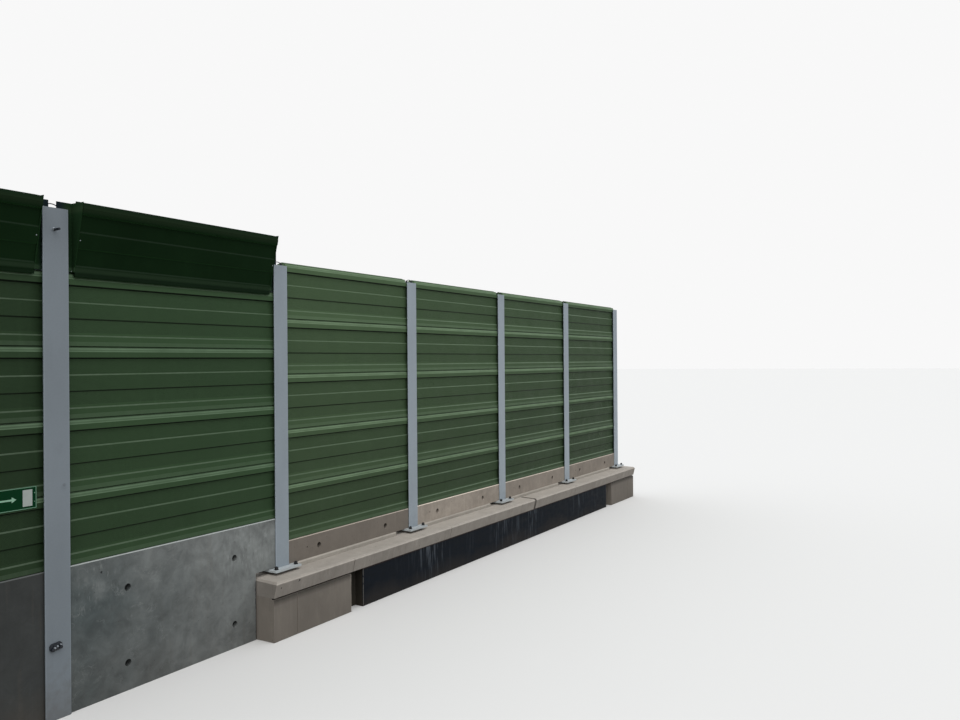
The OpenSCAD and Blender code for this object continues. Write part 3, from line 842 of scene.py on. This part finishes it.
class BARRIER_OT_dress_posts(bpy.types.Operator):
    """Paints the posts and base plates, and rounds their edges"""
    bl_idname = "barrier.dress_posts"
    bl_label = "Dress posts"

    def execute(self, context):
        edge, colours = context.scene.barrier_sizes.steel_edge, context.scene.barrier_colours
        smudges = stains(
            (0.048, 1.563, 0.016, 0.55, 0.35), (0.046, 1.548, 0.030, 0.30, 0.6),
            (0.010, 1.800, 0.050, 0.22, 0.72), (0.030, 1.835, 0.025, 0.18, 0.7),
            (-0.030, 1.640, 0.060, 0.12, 0.8), (0.020, 1.300, 0.090, 0.10, 0.8))
        ground = post_paint(
            "ground_post_paint", colours.post, 0.0, GROUND_ROW,
            changes=(smudges, drift("Z", 1.6, 0.8, 0.89), drift("Z", 2.6, 3.2, 0.93)))
        # The splashed dirt is full up to this height and fades out above it
        dirt_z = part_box(PLATES[0])[1].z - 0.12
        first = post_paint(
            "first_ledge_post_paint", grown(colours.post, 1.36), dirt_z, LEDGE_ROW, 0.12)
        ledge = post_paint("ledge_post_paint", grown(colours.post, 1.54), dirt_z, LEDGE_ROW, 0.20)
        plate = post_paint("plate_paint", colours.plate, dirt_z, PLATE_ROW, foot_dirt=0.0)
        dress_all(GROUND_POSTS, ground, edge)
        dress_all(LEDGE_POSTS[:1], first, edge)
        dress_all(LEDGE_POSTS[1:], ledge, edge)
        dress_all(PLATES, plate, edge, flat=True)
        return {"FINISHED"}


class BARRIER_OT_dress_cassettes(bpy.types.Operator):
    """Paints the upright and leaning cassettes and the brackets, and rounds their folds"""
    bl_idname = "barrier.dress_cassettes"
    bl_label = "Dress cassettes"

    def execute(self, context):
        fold, colours = context.scene.barrier_sizes.fold_radius, context.scene.barrier_colours
        ground = sheet_paint(
            "ground_sheet_paint", colours.ground_cassette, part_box("plinth_1")[1].z, GROUND_PITCH,
            ((-0.05, 0.64), (0.05, 0.92), (2.0, 1.06)), 0.78)
        ledge = sheet_paint(
            "ledge_sheet_paint", colours.ledge_cassette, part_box("plinth_2")[1].z, LEDGE_PITCH,
            ((2.1, 1.0), (5.0, 0.92), (9.0, 0.78)), 0.69)
        dark = dark_sheet_paint("dark_sheet_paint", colours.top)
        # Painted light: the brackets sit in shade, so their paint is the leaning cassettes' made
        # 1.8 times lighter
        bracket = dark_sheet_paint(
            "bracket_paint_with_painted_light", grown(colours.top, 1.8), at_posts=(0.0095, 0.0165, 0.0205))
        dress_all(GROUND_STACKS, ground, fold)
        dress_all(LEDGE_STACKS, ledge, fold)
        dress_all(TOP_CASSETTES, dark, fold)
        dress_all(BRACKETS, bracket, 0.0008)
        return {"FINISHED"}


class BARRIER_OT_dress_panels(bpy.types.Operator):
    """Gives each plinth panel its own casting"""
    bl_idname = "barrier.dress_panels"
    bl_label = "Dress plinth panels"

    def execute(self, context):
        sizes, colours = context.scene.barrier_sizes, context.scene.barrier_colours
        ledge_low, ledge_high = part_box("ledge")
        tall_low, tall_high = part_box("plinth_1")
        # The two broad dark spots, on the left and low down, paint shade, and the broad pale spots
        # on the right paint light; the rest are stains
        marks = stains(
            (0.05, 0.45, 1.25, 1.00, (0.50, 0.56, 0.58)), (0.55, 0.10, 0.60, 0.50, 0.66),
            (1.85, 0.85, 0.55, 0.65, 1.50), (1.30, 0.95, 0.35, 0.50, 1.40),
            (1.72, 0.35, 0.30, 0.40, 1.30), (1.95, 0.98, 0.10, 0.60, 0.55),
            (0.75, 0.80, 0.30, 0.30, 1.25), (1.05, 0.45, 0.28, 0.30, 0.75),
            (1.62, 0.93, 0.12, 0.60, 1.60), (1.80, 0.72, 0.16, 0.50, 1.55),
            (0.33, 0.78, 0.10, 0.35, 1.4))
        tall_top_highlight, low_top_highlight = painted_top_highlight(tall_high.z), painted_top_highlight(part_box("plinth_2")[1].z)
        socket_shade = painted_socket_shade(tall_low.y)
        castings = {
            "plinth_0": cast_concrete(
                "tall_panel_left", grown(colours.tall_panel, 0.26), 0.10, 0.12, (3.0, 0.0, 1.0),
                changes=(swirls(0.10, (3.0, 0.0, 1.0)), tall_top_highlight, socket_shade)),
            "plinth_1": cast_concrete(
                "tall_panel_right", colours.tall_panel, 0.11, 0.22, UNMOVED, foot_dark=0.12,
                changes=(
                    # The panel's darkening towards the foot is painted shade
                    marks, swirls(0.20, UNMOVED, 0.9), drift("Z", 0.75, 0.10, 0.86),
                    upright_drips(1.72, 0.86, 0.42, 0.6, (6.0, 0.0, 0.0)),
                    upright_drips(0.30, 0.85, 0.30, 0.4, (1.0, 0.0, 0.0)),
                    tall_top_highlight, socket_shade, painted_gap_shadow(ledge_low.x - 0.006, ledge_high.z - 0.015))),
        }
        for name, tone, mottle, streak, shift in (
                ("plinth_2", 0.78, 0.08, 0.14, (5.0, 1.0, 0.0)),
                ("plinth_3", 1.38, 0.16, 0.24, (8.0, 2.0, 0.0)),
                ("plinth_4", 1.20, 0.12, 0.20, (11.0, 0.0, 2.0)),
                ("plinth_5", 1.08, 0.12, 0.20, (14.0, 3.0, 0.0))):
            castings[name] = cast_concrete(
                name.replace("plinth", "low_panel"), grown(colours.low_panel, tone), mottle,
                streak, shift, foot_z=0.4, foot_dark=0.1,
                changes=(swirls(mottle * 0.7, shift), low_top_highlight, socket_shade))
        for node, material in castings.items():
            dress_all((node,), material, sizes.concrete_edge * 0.6)
        return {"FINISHED"}


class BARRIER_OT_dress_ledge(bpy.types.Operator):
    """Finishes the ledge, its end blocks, the coated wall and the mortar"""
    bl_idname = "barrier.dress_ledge"
    bl_label = "Dress ledge and wall"

    def execute(self, context):
        edge, colours = context.scene.barrier_sizes.concrete_edge, context.scene.barrier_colours
        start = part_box("ledge")[0]
        block_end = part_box("end_block_left")[1].x
        chamfer_z = start.z + 0.117
        shadow_z = start.z - 0.016
        movement_joint_x = 6.62
        specks = stains(
            (1.865, 0.456, 0.009, 1.6, 0.06), (2.082, 0.476, 0.012, 1.6, 0.06),
            (2.074, 0.463, 0.006, 1.2, 0.2))
        ledge = cast_concrete(
            "ledge_concrete", colours.ledge, 0.10, 0.30, (1.0, 0.0, 4.0), foot_dark=0.0,
            warm=(0.135, 0.098, 0.078), paler_top=0.50,
            changes=(
                drift("X", 2.4, 5.0, 1.13), swirls(0.06, (1.0, 0.0, 4.0)), painted_end_light(0.90), specks,
                dirty_joint(movement_joint_x, 0.026, 0.66),
                pale_arris("Z", chamfer_z, 0.004, 0.6, 1.7),
                pale_arris("X", start.x, 0.004, 0.4, 1.5)))
        block = cast_concrete(
            "block_concrete", grown(colours.ledge, (0.612, 0.598, 0.578)), 0.10, 0.30,
            (2.0, 1.0, 3.0), foot_dark=0.08, warm=(0.115, 0.088, 0.070),
            changes=(
                painted_end_light(1.32), shaded_below(shadow_z, 0.060),
                pale_arris("X", block_end, 0.005, 0.8, 2.4)))
        low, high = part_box("coated_wall")
        # The wall's arrises are where it meets the end blocks
        wall = bitumen(
            "bitumen_coating", colours.coating, low.y, high.z, (low.x + 0.19, high.x - 0.19),
            ((4.2, 0.3), (5.9, 0.35), (6.6, 0.2), (8.15, 0.14)))
        mortar = cast_concrete(
            "bedding_mortar", colours.mortar, 0.12, 0.18, (4.0, 4.0, 1.0), foot_dark=0.0)
        dress_all(("ledge",), ledge, edge)
        dress_all(("end_block_left", "end_block_right"), block, edge * 0.7)
        dress_all(("coated_wall",), wall, edge)
        dress_all(("bedding_strips", "levelling_pads"), mortar, 0.002)
        return {"FINISHED"}


class BARRIER_OT_dress_leads(bpy.types.Operator):
    """Gives the bonding leads their black sheath"""
    bl_idname = "barrier.dress_leads"
    bl_label = "Dress bonding leads"

    def execute(self, context):
        colour = context.scene.barrier_colours.sheath
        sheath = plain_finish("lead_sheath", colour, 0.5, 0.0, 0.4, 0.01, 0.25, 0.0002)
        dress("bonding_leads", sheath)
        return {"FINISHED"}


class BARRIER_OT_dress_sign(bpy.types.Operator):
    """Paints the escape sign and lays its border, arrow, panel and rivets on it"""
    bl_idname = "barrier.dress_sign"
    bl_label = "Dress sign"

    foil_thickness = 0.0006
    margin = 0.0015

    def mark_finish(self, name, tone, specular):
        colour = grown(bpy.context.scene.barrier_colours.sign_mark, tone)
        return plain_finish(name, colour, 0.45, 0.0, specular, 0.05, 0.06, 0.0001)

    def sheet(self, x0, x1, z0, z1, y):
        """A thin foil that lies in front of y."""
        thick = self.foil_thickness
        middle = ((x0 + x1) / 2, y - thick / 2, (z0 + z1) / 2)
        return new_slab(middle, (x1 - x0, thick, z1 - z0))

    def border(self, x0, x1, z0, z1, y, line):
        """A sheet whose faces are inset by the line's width and then opened."""
        made = self.sheet(x0, x1, z0, z1, y)
        edit(made)
        select_faces(lambda normal, centre: abs(normal.y) > 0.9)
        bpy.ops.mesh.inset(thickness=line)
        bpy.ops.mesh.delete(type="FACE")
        bpy.ops.mesh.select_mode(type="EDGE")
        bpy.ops.mesh.select_all(action="DESELECT")
        form = bmesh.from_edit_mesh(made.data)
        for edge in form.edges:
            edge.select_set(edge.is_boundary)
        bmesh.update_edit_mesh(made.data)
        bpy.ops.mesh.bridge_edge_loops()
        return close(made)

    def arrow(self, x0, x1, z, y, shaft, head):
        """The shaft's end face is widened and then drawn to the point."""
        made = self.sheet(x0, x1 - head, z - shaft / 2, z + shaft / 2, y)
        edit(made)
        select_faces(lambda normal, centre: normal.x > 0.9)
        middle = (x1 - head, y, z)
        extrude((0, 0, 0))
        resize((1.0, 1.0, 3.4), middle)
        extrude((head, 0, 0))
        resize((1.0, 1.0, 0.02), middle)
        return close(made)

    def rivet(self, at):
        """A ball pressed flat."""
        deselect()
        bpy.ops.mesh.primitive_uv_sphere_add(segments=14, ring_count=8, radius=0.0036, location=at)
        made = bpy.context.object
        made.scale = (1.0, 0.45, 1.0)
        return smooth(bake_place(made), 80.0)

    def execute(self, context):
        ground = context.scene.barrier_colours.sign
        enamel = plain_finish("sign_enamel", ground, 0.50, 0.0, 0.06, 0.08, 0.08, 0.0001)
        foil = self.mark_finish("sign_foil", (0.46, 0.72, 0.56), 0.2)
        panel = self.mark_finish("sign_panel", 0.62, 0.4)
        rim = self.mark_finish("sign_rim", (0.24, 0.42, 0.30), 0.2)
        low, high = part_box("escape_sign")
        dress("escape_sign", enamel)
        middle, height, margin = (low.z + high.z) / 2, high.z - low.z, self.margin
        border = self.border(
            low.x + margin, high.x - margin, low.z + margin, high.z - margin, low.y, 0.0050)
        hand_over(join("sign_border", border), rim)
        arrow = self.arrow(low.x + 0.045, high.x - 0.135, middle, low.y, 0.011, 0.030)
        hand_over(join("sign_arrow", arrow), foil)
        reach = height * 0.37
        inner = self.sheet(high.x - 0.093, high.x - 0.029, middle - reach, middle + reach, low.y)
        hand_over(join("sign_panel", bevel_piece(inner, 0.0002, 1)), panel)
        heads = [
            self.rivet((x, low.y, middle + rise))
            for x in (low.x + 0.014, high.x - 0.014) for rise in (-0.028, 0.028)]
        hand_over(join("sign_rivets", *heads), rim)
        return {"FINISHED"}


# Operators: the fittings

class BARRIER_OT_add_anchors(bpy.types.Operator):
    """Adds a washer, nut and threaded stud at every anchor hole of the base plates"""
    bl_idname = "barrier.add_anchors"
    bl_label = "Add anchors"

    washer_thickness = 0.004
    thread_pitch = 0.0025
    thread_root = 0.88

    def cylinder(self, vertices, at, radius, height):
        """Stands on the place it is given."""
        deselect()
        bpy.ops.mesh.primitive_cylinder_add(
            vertices=vertices, radius=radius, depth=height,
            location=at + Vector((0, 0, height / 2)))
        return bake_place(bpy.context.object)

    def washer(self, at, radius):
        return bevel_piece(self.cylinder(36, at, radius, self.washer_thickness), 0.0008)

    def nut(self, at, across, height):
        made = self.cylinder(6, at, across / 2, height)
        edit(made)
        select_faces(lambda normal, centre: abs(normal.z) > 0.9)
        bpy.ops.mesh.inset(thickness=across * 0.07, depth=0.0012)
        return bevel_piece(close(made), 0.0009, angle=20.0)

    def stud(self, at, radius, height):
        """A circle is drawn up into a thread, ridge by ridge, and closed with a chamfered end."""
        deselect()
        bpy.ops.mesh.primitive_circle_add(vertices=20, radius=radius, fill_type="NGON", location=at)
        made = bake_place(bpy.context.object)
        edit(made)
        for _ in range(int(height / self.thread_pitch)):
            for factor in (self.thread_root, 1.0 / self.thread_root):
                extrude((0, 0, self.thread_pitch / 2))
                resize((factor, factor, 1.0), at)
        extrude((0, 0, 0.0015))
        resize((0.8, 0.8, 1.0), at)
        return close(made)

    def execute(self, context):
        sizes, colours = context.scene.barrier_sizes, context.scene.barrier_colours
        coating = plain_finish(
            "anchor_coating", colours.fastener, 0.42, 0.0, 0.4, 0.004, 0.3, 0.0002)
        at = Vector((middle_x(PLATES[0]), 0.0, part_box(PLATES[0])[1].z))
        pattern = smooth(join(
            "anchor_pattern",
            self.washer(at, sizes.nut_across * 0.56),
            self.nut(at + Vector((0, 0, self.washer_thickness)), sizes.nut_across, 0.018),
            self.stud(at + Vector((0, 0, 0.002)), sizes.stud_diameter / 2, 0.026)))
        reach = sizes.anchor_reach
        for node in PLATES:
            shift = middle_x(node) - at.x
            four = [
                copy_at(pattern, (shift + sx * reach, sy * reach, 0))
                for sx in (-1, 1) for sy in (-1, 1)]
            hand_over(join(node.replace("base_plate", "anchors"), *four), coating)
        bpy.data.objects.remove(pattern)
        return {"FINISHED"}


class BARRIER_OT_add_welds(bpy.types.Operator):
    """Adds the rippled weld beads where the ledge posts stand on their base plates"""
    bl_idname = "barrier.add_welds"
    bl_label = "Add welds"

    flange_thickness = 0.009
    ripple_length = 0.0045
    swell = 1.10

    def bead(self, start, length, along, leg):
        """A ring is drawn out along X or Y, a little thicker and thinner by turns."""
        deselect()
        quarter = math.radians(90)
        bpy.ops.mesh.primitive_circle_add(
            vertices=10, radius=leg * 0.55, fill_type="NGON", location=start,
            rotation=(0, quarter, 0) if along == "X" else (quarter, 0, 0))
        made = bake_place(bpy.context.object)
        edit(made)
        steps = max(8, int(length / self.ripple_length))
        step = length / steps
        for k in range(steps):
            factor = self.swell if k % 2 == 0 else 1.0 / self.swell
            extrude((step, 0, 0) if along == "X" else (0, step, 0))
            resize((1.0, factor, factor) if along == "X" else (factor, 1.0, factor), start)
        return close(made)

    def execute(self, context):
        sizes, colours = context.scene.barrier_sizes, context.scene.barrier_colours
        paint = plain_finish(
            "weld_paint", grown(colours.post, 1.05), 0.45, 0.0, 0.45, 0.006, 0.18, 0.0003)
        low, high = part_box(LEDGE_POSTS[0])
        width, leg, flange = high.x - low.x, sizes.weld_leg, self.flange_thickness
        out, foot = leg * 0.2, low.z + leg * 0.2
        beads = []
        for y, outward in ((low.y, -1), (high.y, 1)):
            beads.append(self.bead(Vector((low.x, y + outward * out, foot)), width, "X", leg))
            start = min(y, y - outward * flange)
            for x in (low.x - out, high.x + out):
                beads.append(self.bead(Vector((x, start, foot)), flange, "Y", leg))
        pattern = smooth(join("weld_pattern", *beads), 60.0)
        for node in LEDGE_POSTS:
            piece = copy_at(pattern, (middle_x(node) - (low.x + width / 2), 0, 0))
            hand_over(join(node.replace("post", "weld"), piece), paint)
        bpy.data.objects.remove(pattern)
        return {"FINISHED"}


class BARRIER_OT_add_rivets(bpy.types.Operator):
    """Adds the rivets on the brackets, leaning cassettes and back sheets"""
    bl_idname = "barrier.add_rivets"
    bl_label = "Add rivets"

    bracket_place = (0.106, -0.050, 3.016)    # x from the bracket's end, y of its plate, and z
    leaning_place = (0.011, -0.1229, 3.225)   # x from the cassette's end, y and z
    back_from_end = 0.105
    back_heights = (0.05, 0.25, 0.45)         # above each cassette's foot
    sunk = 0.0004

    def rivet(self, diameter):
        """A ball cut in half, pressed flat towards +Y."""
        deselect()
        bpy.ops.mesh.primitive_uv_sphere_add(
            segments=12, ring_count=6, radius=diameter / 2, location=(0, 0, 0),
            rotation=(math.radians(90), 0, 0))
        made = bake_place(bpy.context.object)
        edit(made)
        bpy.ops.mesh.bisect(plane_co=(0, 0, 0), plane_no=(0, 1, 0), clear_outer=True, use_fill=True)
        bpy.ops.mesh.select_all(action="SELECT")
        resize((1.0, 0.42, 1.0))
        return smooth(close(made), 50.0)

    def spread(self, name, pattern, spots, material, slot):
        """One piece of rivets, copied from the pattern to each spot."""
        hand_over(join(name, *(copy_at(pattern, spot) for spot in spots)), material)

    def execute(self, context):
        sizes, colours = context.scene.barrier_sizes, context.scene.barrier_colours
        bright = plain_finish(
            "rivet_metal", (0.34, 0.37, 0.39), 0.40, 0.5, 0.5, 0.003, 0.15, 0.0001)
        painted = plain_finish(
            "rivet_paint", grown(colours.ledge_cassette, 0.9), 0.42, 0.0, 0.45, 0.004, 0.15, 0.0001)
        front = self.rivet(sizes.rivet_diameter * 0.7)
        from_end, y, z = self.bracket_place
        for node in BRACKETS:
            low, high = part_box(node)
            spots = [(x, y + self.sunk, z) for x in (low.x + from_end, high.x - from_end)]
            name = node.replace("top_brackets", "bracket_rivets")
            self.spread(name, front, spots, bright, "post_steel")
        leaning = copy_at(front, (0, 0, 0))
        leaning.rotation_euler.x = LEAN
        bake_place(leaning)
        from_end, y, z = self.leaning_place
        for node in TOP_CASSETTES:
            low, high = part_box(node)
            spots = [(x, y, z) for x in (low.x + from_end, high.x - from_end)]
            name = node.replace("top_cassette", "lean_rivets")
            self.spread(name, leaning, spots, bright, "post_steel")
        back = self.rivet(sizes.rivet_diameter)
        edit(back)
        resize((1.0, -1.0, 1.0))
        close(back)
        for node in GROUND_STACKS + LEDGE_STACKS:
            low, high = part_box(node)
            spots = [
                (x, high.y - self.sunk, low.z + k * CASSETTE_HEIGHT + rise)
                for k in range(round((high.z - low.z) / CASSETTE_HEIGHT))
                for rise in self.back_heights
                for x in (low.x + self.back_from_end, high.x - self.back_from_end)]
            name = node.replace("cassettes", "back_rivets")
            self.spread(name, back, spots, painted, "cassette_green")
        for pattern in (front, leaning, back):
            bpy.data.objects.remove(pattern)
        return {"FINISHED"}


class BARRIER_OT_add_terminals(bpy.types.Operator):
    """Adds the bolt near the head of post 1 and the earth terminal near its foot"""
    bl_idname = "barrier.add_terminals"
    bl_label = "Add terminals"

    head_place = (-0.014, 3.282)   # x and z on the flange's face
    earth_place = (-0.021, 0.493)
    earth_turn = math.radians(5.0)

    def rod(self, at, radius, length, vertices=20):
        """A rod that stands out of the front flange, with a chamfered end."""
        deselect()
        bpy.ops.mesh.primitive_cylinder_add(
            vertices=vertices, radius=radius, depth=length,
            location=at - Vector((0, length / 2, 0)), rotation=(math.radians(90), 0, 0))
        return bevel_piece(bake_place(bpy.context.object), radius * 0.16, angle=40.0)

    def lug(self, at, length, height, thick, turn):
        """A flat plate with tapered ends and a raised middle, turned in the flange's plane."""
        made = new_slab((0, 0, 0), (length, thick, height))
        edit(made)
        for side in (-1, 1):
            select_faces(lambda normal, centre: normal.x * side > 0.9)
            extrude((side * height * 0.28, 0, 0))
            resize((1.0, 1.0, 0.50))
        select_faces(lambda normal, centre: normal.y < -0.9 and abs(centre.x) < length * 0.4)
        bpy.ops.mesh.inset(thickness=height * 0.16, depth=0.0)
        extrude((0, -thick * 0.6, 0))
        bevel_piece(close(made), 0.0015)
        made.rotation_euler.y = -turn
        made.location = at
        return bake_place(made)

    def execute(self, context):
        steel = plain_finish(
            "terminal_steel", (0.34, 0.37, 0.40), 0.36, 0.6, 0.5, 0.006, 0.25, 0.0002)
        dark = plain_finish(
            "terminal_coating", (0.006, 0.009, 0.014), 0.40, 0.0, 0.4, 0.006, 0.35, 0.0004)
        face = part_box("post_1")[0].y
        x, z = self.head_place
        washer = self.rod(Vector((x, face + 0.002, z + 0.004)), 0.0125, 0.008, 6)
        hand_over(smooth(join("head_washer", washer)), steel)
        bolt = join(
            "head_bolt",
            self.rod(Vector((x + 0.004, face + 0.002, z)), 0.0105, 0.016, 6),
            self.rod(Vector((x + 0.004, face - 0.010, z)), 0.0082, 0.050))
        hand_over(smooth(bolt), dark)
        x, z = self.earth_place
        foot, turn = Vector((x, face, z)), self.earth_turn
        away = Vector((math.cos(turn), 0, math.sin(turn)))
        terminal = join(
            "earth_terminal",
            self.lug(foot + Vector((0, -0.005, 0)), 0.058, 0.052, 0.010, turn),
            self.rod(foot - away * 0.026 + Vector((0, 0, -0.014)), 0.0120, 0.022, 16),
            self.rod(foot + away * 0.028 + Vector((0, 0, -0.010)), 0.0110, 0.024, 16))
        hand_over(smooth(terminal), dark)
        bolts = []
        for along, rise, radius, reach in (
                (-0.016, -0.002, 0.0070, 0.012), (0.004, 0.003, 0.0070, 0.010),
                (0.026, 0.008, 0.0055, 0.012)):
            at = foot + away * along + Vector((0, -0.012, rise))
            bolts.append(self.rod(at, radius, reach, 6))
            bolts.append(self.rod(at + Vector((0, -reach * 0.5, 0)), radius * 0.55, reach))
        hand_over(smooth(join("earth_bolts", *bolts)), steel)
        return {"FINISHED"}


class BARRIER_OT_build_stage(bpy.types.Operator):
    """Adds the floor, the soft lamp, the light from all round and the camera"""
    bl_idname = "barrier.build_stage"
    bl_label = "Build stage"

    floor_z = -0.0005     # just below the feet
    lamp_direction = (-0.28, -0.40, 0.87)
    lamp_colour = (1.0, 0.985, 0.96)
    horizon_band = 0.40   # how far up the light grows from the horizon's to the sky's strength
    backdrop = 0.94       # white as the camera sees it

    def floor(self, stage):
        deselect()
        bpy.ops.mesh.primitive_plane_add(size=1.0, location=(4.0, 0.0, self.floor_z))
        made = bpy.context.object
        made.scale = (400.0, 400.0, 1.0)
        bake_place(made)
        made.name = "floor"
        look = Finish("floor_paint", 0.9, specular=0.0)
        rays = look.node("ShaderNodeLightPath").outputs
        mirrored = look.calc("MAXIMUM", rays["Is Glossy Ray"], rays["Is Transmission Ray"])
        seen = look.calc("MAXIMUM", rays["Is Camera Ray"], mirrored)
        made.data.materials.append(look.finish(look.blend(seen, stage.bounce, stage.floor)))

    def lamp(self, stage):
        deselect()
        bpy.ops.object.light_add(type="SUN", location=(4.0, -6.0, 9.0))
        made = bpy.context.object
        made.name = "key"
        made.data.energy = stage.key_strength
        made.data.angle = math.radians(60.0)
        made.data.color = self.lamp_colour
        towards = Vector(self.lamp_direction).normalized()
        made.rotation_euler = towards.to_track_quat("Z", "Y").to_euler()

    def world(self, stage):
        made = bpy.data.worlds.new("even_sky")
        made.use_nodes = True
        nodes, links = made.node_tree.nodes, made.node_tree.links
        nodes.clear()
        split = nodes.new("ShaderNodeSeparateXYZ")
        links.new(nodes.new("ShaderNodeTexCoord").outputs["Generated"], split.inputs["Vector"])
        rise = nodes.new("ShaderNodeMapRange")
        rise.inputs["From Max"].default_value = self.horizon_band
        rise.inputs["To Min"].default_value = stage.sky_strength * stage.horizon
        rise.inputs["To Max"].default_value = stage.sky_strength
        links.new(split.outputs["Z"], rise.inputs["Value"])
        light = nodes.new("ShaderNodeBackground")
        light.inputs["Color"].default_value = (*stage.sky, 1.0)
        links.new(rise.outputs["Result"], light.inputs["Strength"])
        plain = nodes.new("ShaderNodeBackground")
        plain.inputs["Color"].default_value = (1.0, 1.0, 1.0, 1.0)
        plain.inputs["Strength"].default_value = self.backdrop
        mix = nodes.new("ShaderNodeMixShader")
        seen = nodes.new("ShaderNodeLightPath").outputs["Is Camera Ray"]
        links.new(seen, mix.inputs["Fac"])
        links.new(light.outputs["Background"], mix.inputs[1])
        links.new(plain.outputs["Background"], mix.inputs[2])
        output = nodes.new("ShaderNodeOutputWorld")
        links.new(mix.outputs["Shader"], output.inputs["Surface"])
        bpy.context.scene.world = made

    def camera(self, stage):
        deselect()
        bpy.ops.object.camera_add(location=stage.eye)
        made = bpy.context.object
        made.name = "photo_camera"
        made.data.sensor_width = 36.0
        made.data.lens = stage.focal_length
        made.data.clip_start = 0.05
        made.data.clip_end = 500.0
        turn = (
            Matrix.Rotation(stage.heading - math.pi / 2, 3, "Z")
            @ Matrix.Rotation(math.pi / 2 + stage.tilt, 3, "X")
            @ Matrix.Rotation(stage.roll, 3, "Z")
        )
        made.rotation_euler = turn.to_euler()
        bpy.context.scene.camera = made

    def execute(self, context):
        stage = context.scene.barrier_stage
        self.floor(stage)
        self.lamp(stage)
        self.world(stage)
        self.camera(stage)
        context.scene.view_settings.view_transform = "Standard"
        return {"FINISHED"}


OPERATORS = (
    BARRIER_OT_dress_posts,
    BARRIER_OT_dress_cassettes,
    BARRIER_OT_dress_panels,
    BARRIER_OT_dress_ledge,
    BARRIER_OT_dress_leads,
    BARRIER_OT_dress_sign,
    BARRIER_OT_add_anchors,
    BARRIER_OT_add_welds,
    BARRIER_OT_add_rivets,
    BARRIER_OT_add_terminals,
    BARRIER_OT_build_stage,
)


class BARRIER_PT_sidebar(bpy.types.Panel):
    """Lists the barrier's pieces, sizes and colours"""
    bl_idname = "BARRIER_PT_sidebar"
    bl_label = "Noise barrier"
    bl_space_type = "VIEW_3D"
    bl_region_type = "UI"
    bl_category = "Barrier"

    def draw(self, context):
        for step in OPERATORS:
            self.layout.operator(step.bl_idname)
        for name, group in GROUPS.items():
            box = self.layout.box()
            for value in group.__annotations__:
                box.prop(getattr(context.scene, name), value)


CLASSES = (*GROUPS.values(), *OPERATORS, BARRIER_PT_sidebar)


def register():
    for made in CLASSES:
        bpy.utils.register_class(made)
    for name, group in GROUPS.items():
        setattr(bpy.types.Scene, name, bpy.props.PointerProperty(type=group))


def unregister():
    for name in GROUPS:
        delattr(bpy.types.Scene, name)
    for made in reversed(CLASSES):
        bpy.utils.unregister_class(made)


def main():
    register()
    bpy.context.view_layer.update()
    for step in OPERATORS:
        group, name = step.bl_idname.split(".")
        getattr(getattr(bpy.ops, group), name)()
    deselect()


if __name__ == "__main__":
    main()
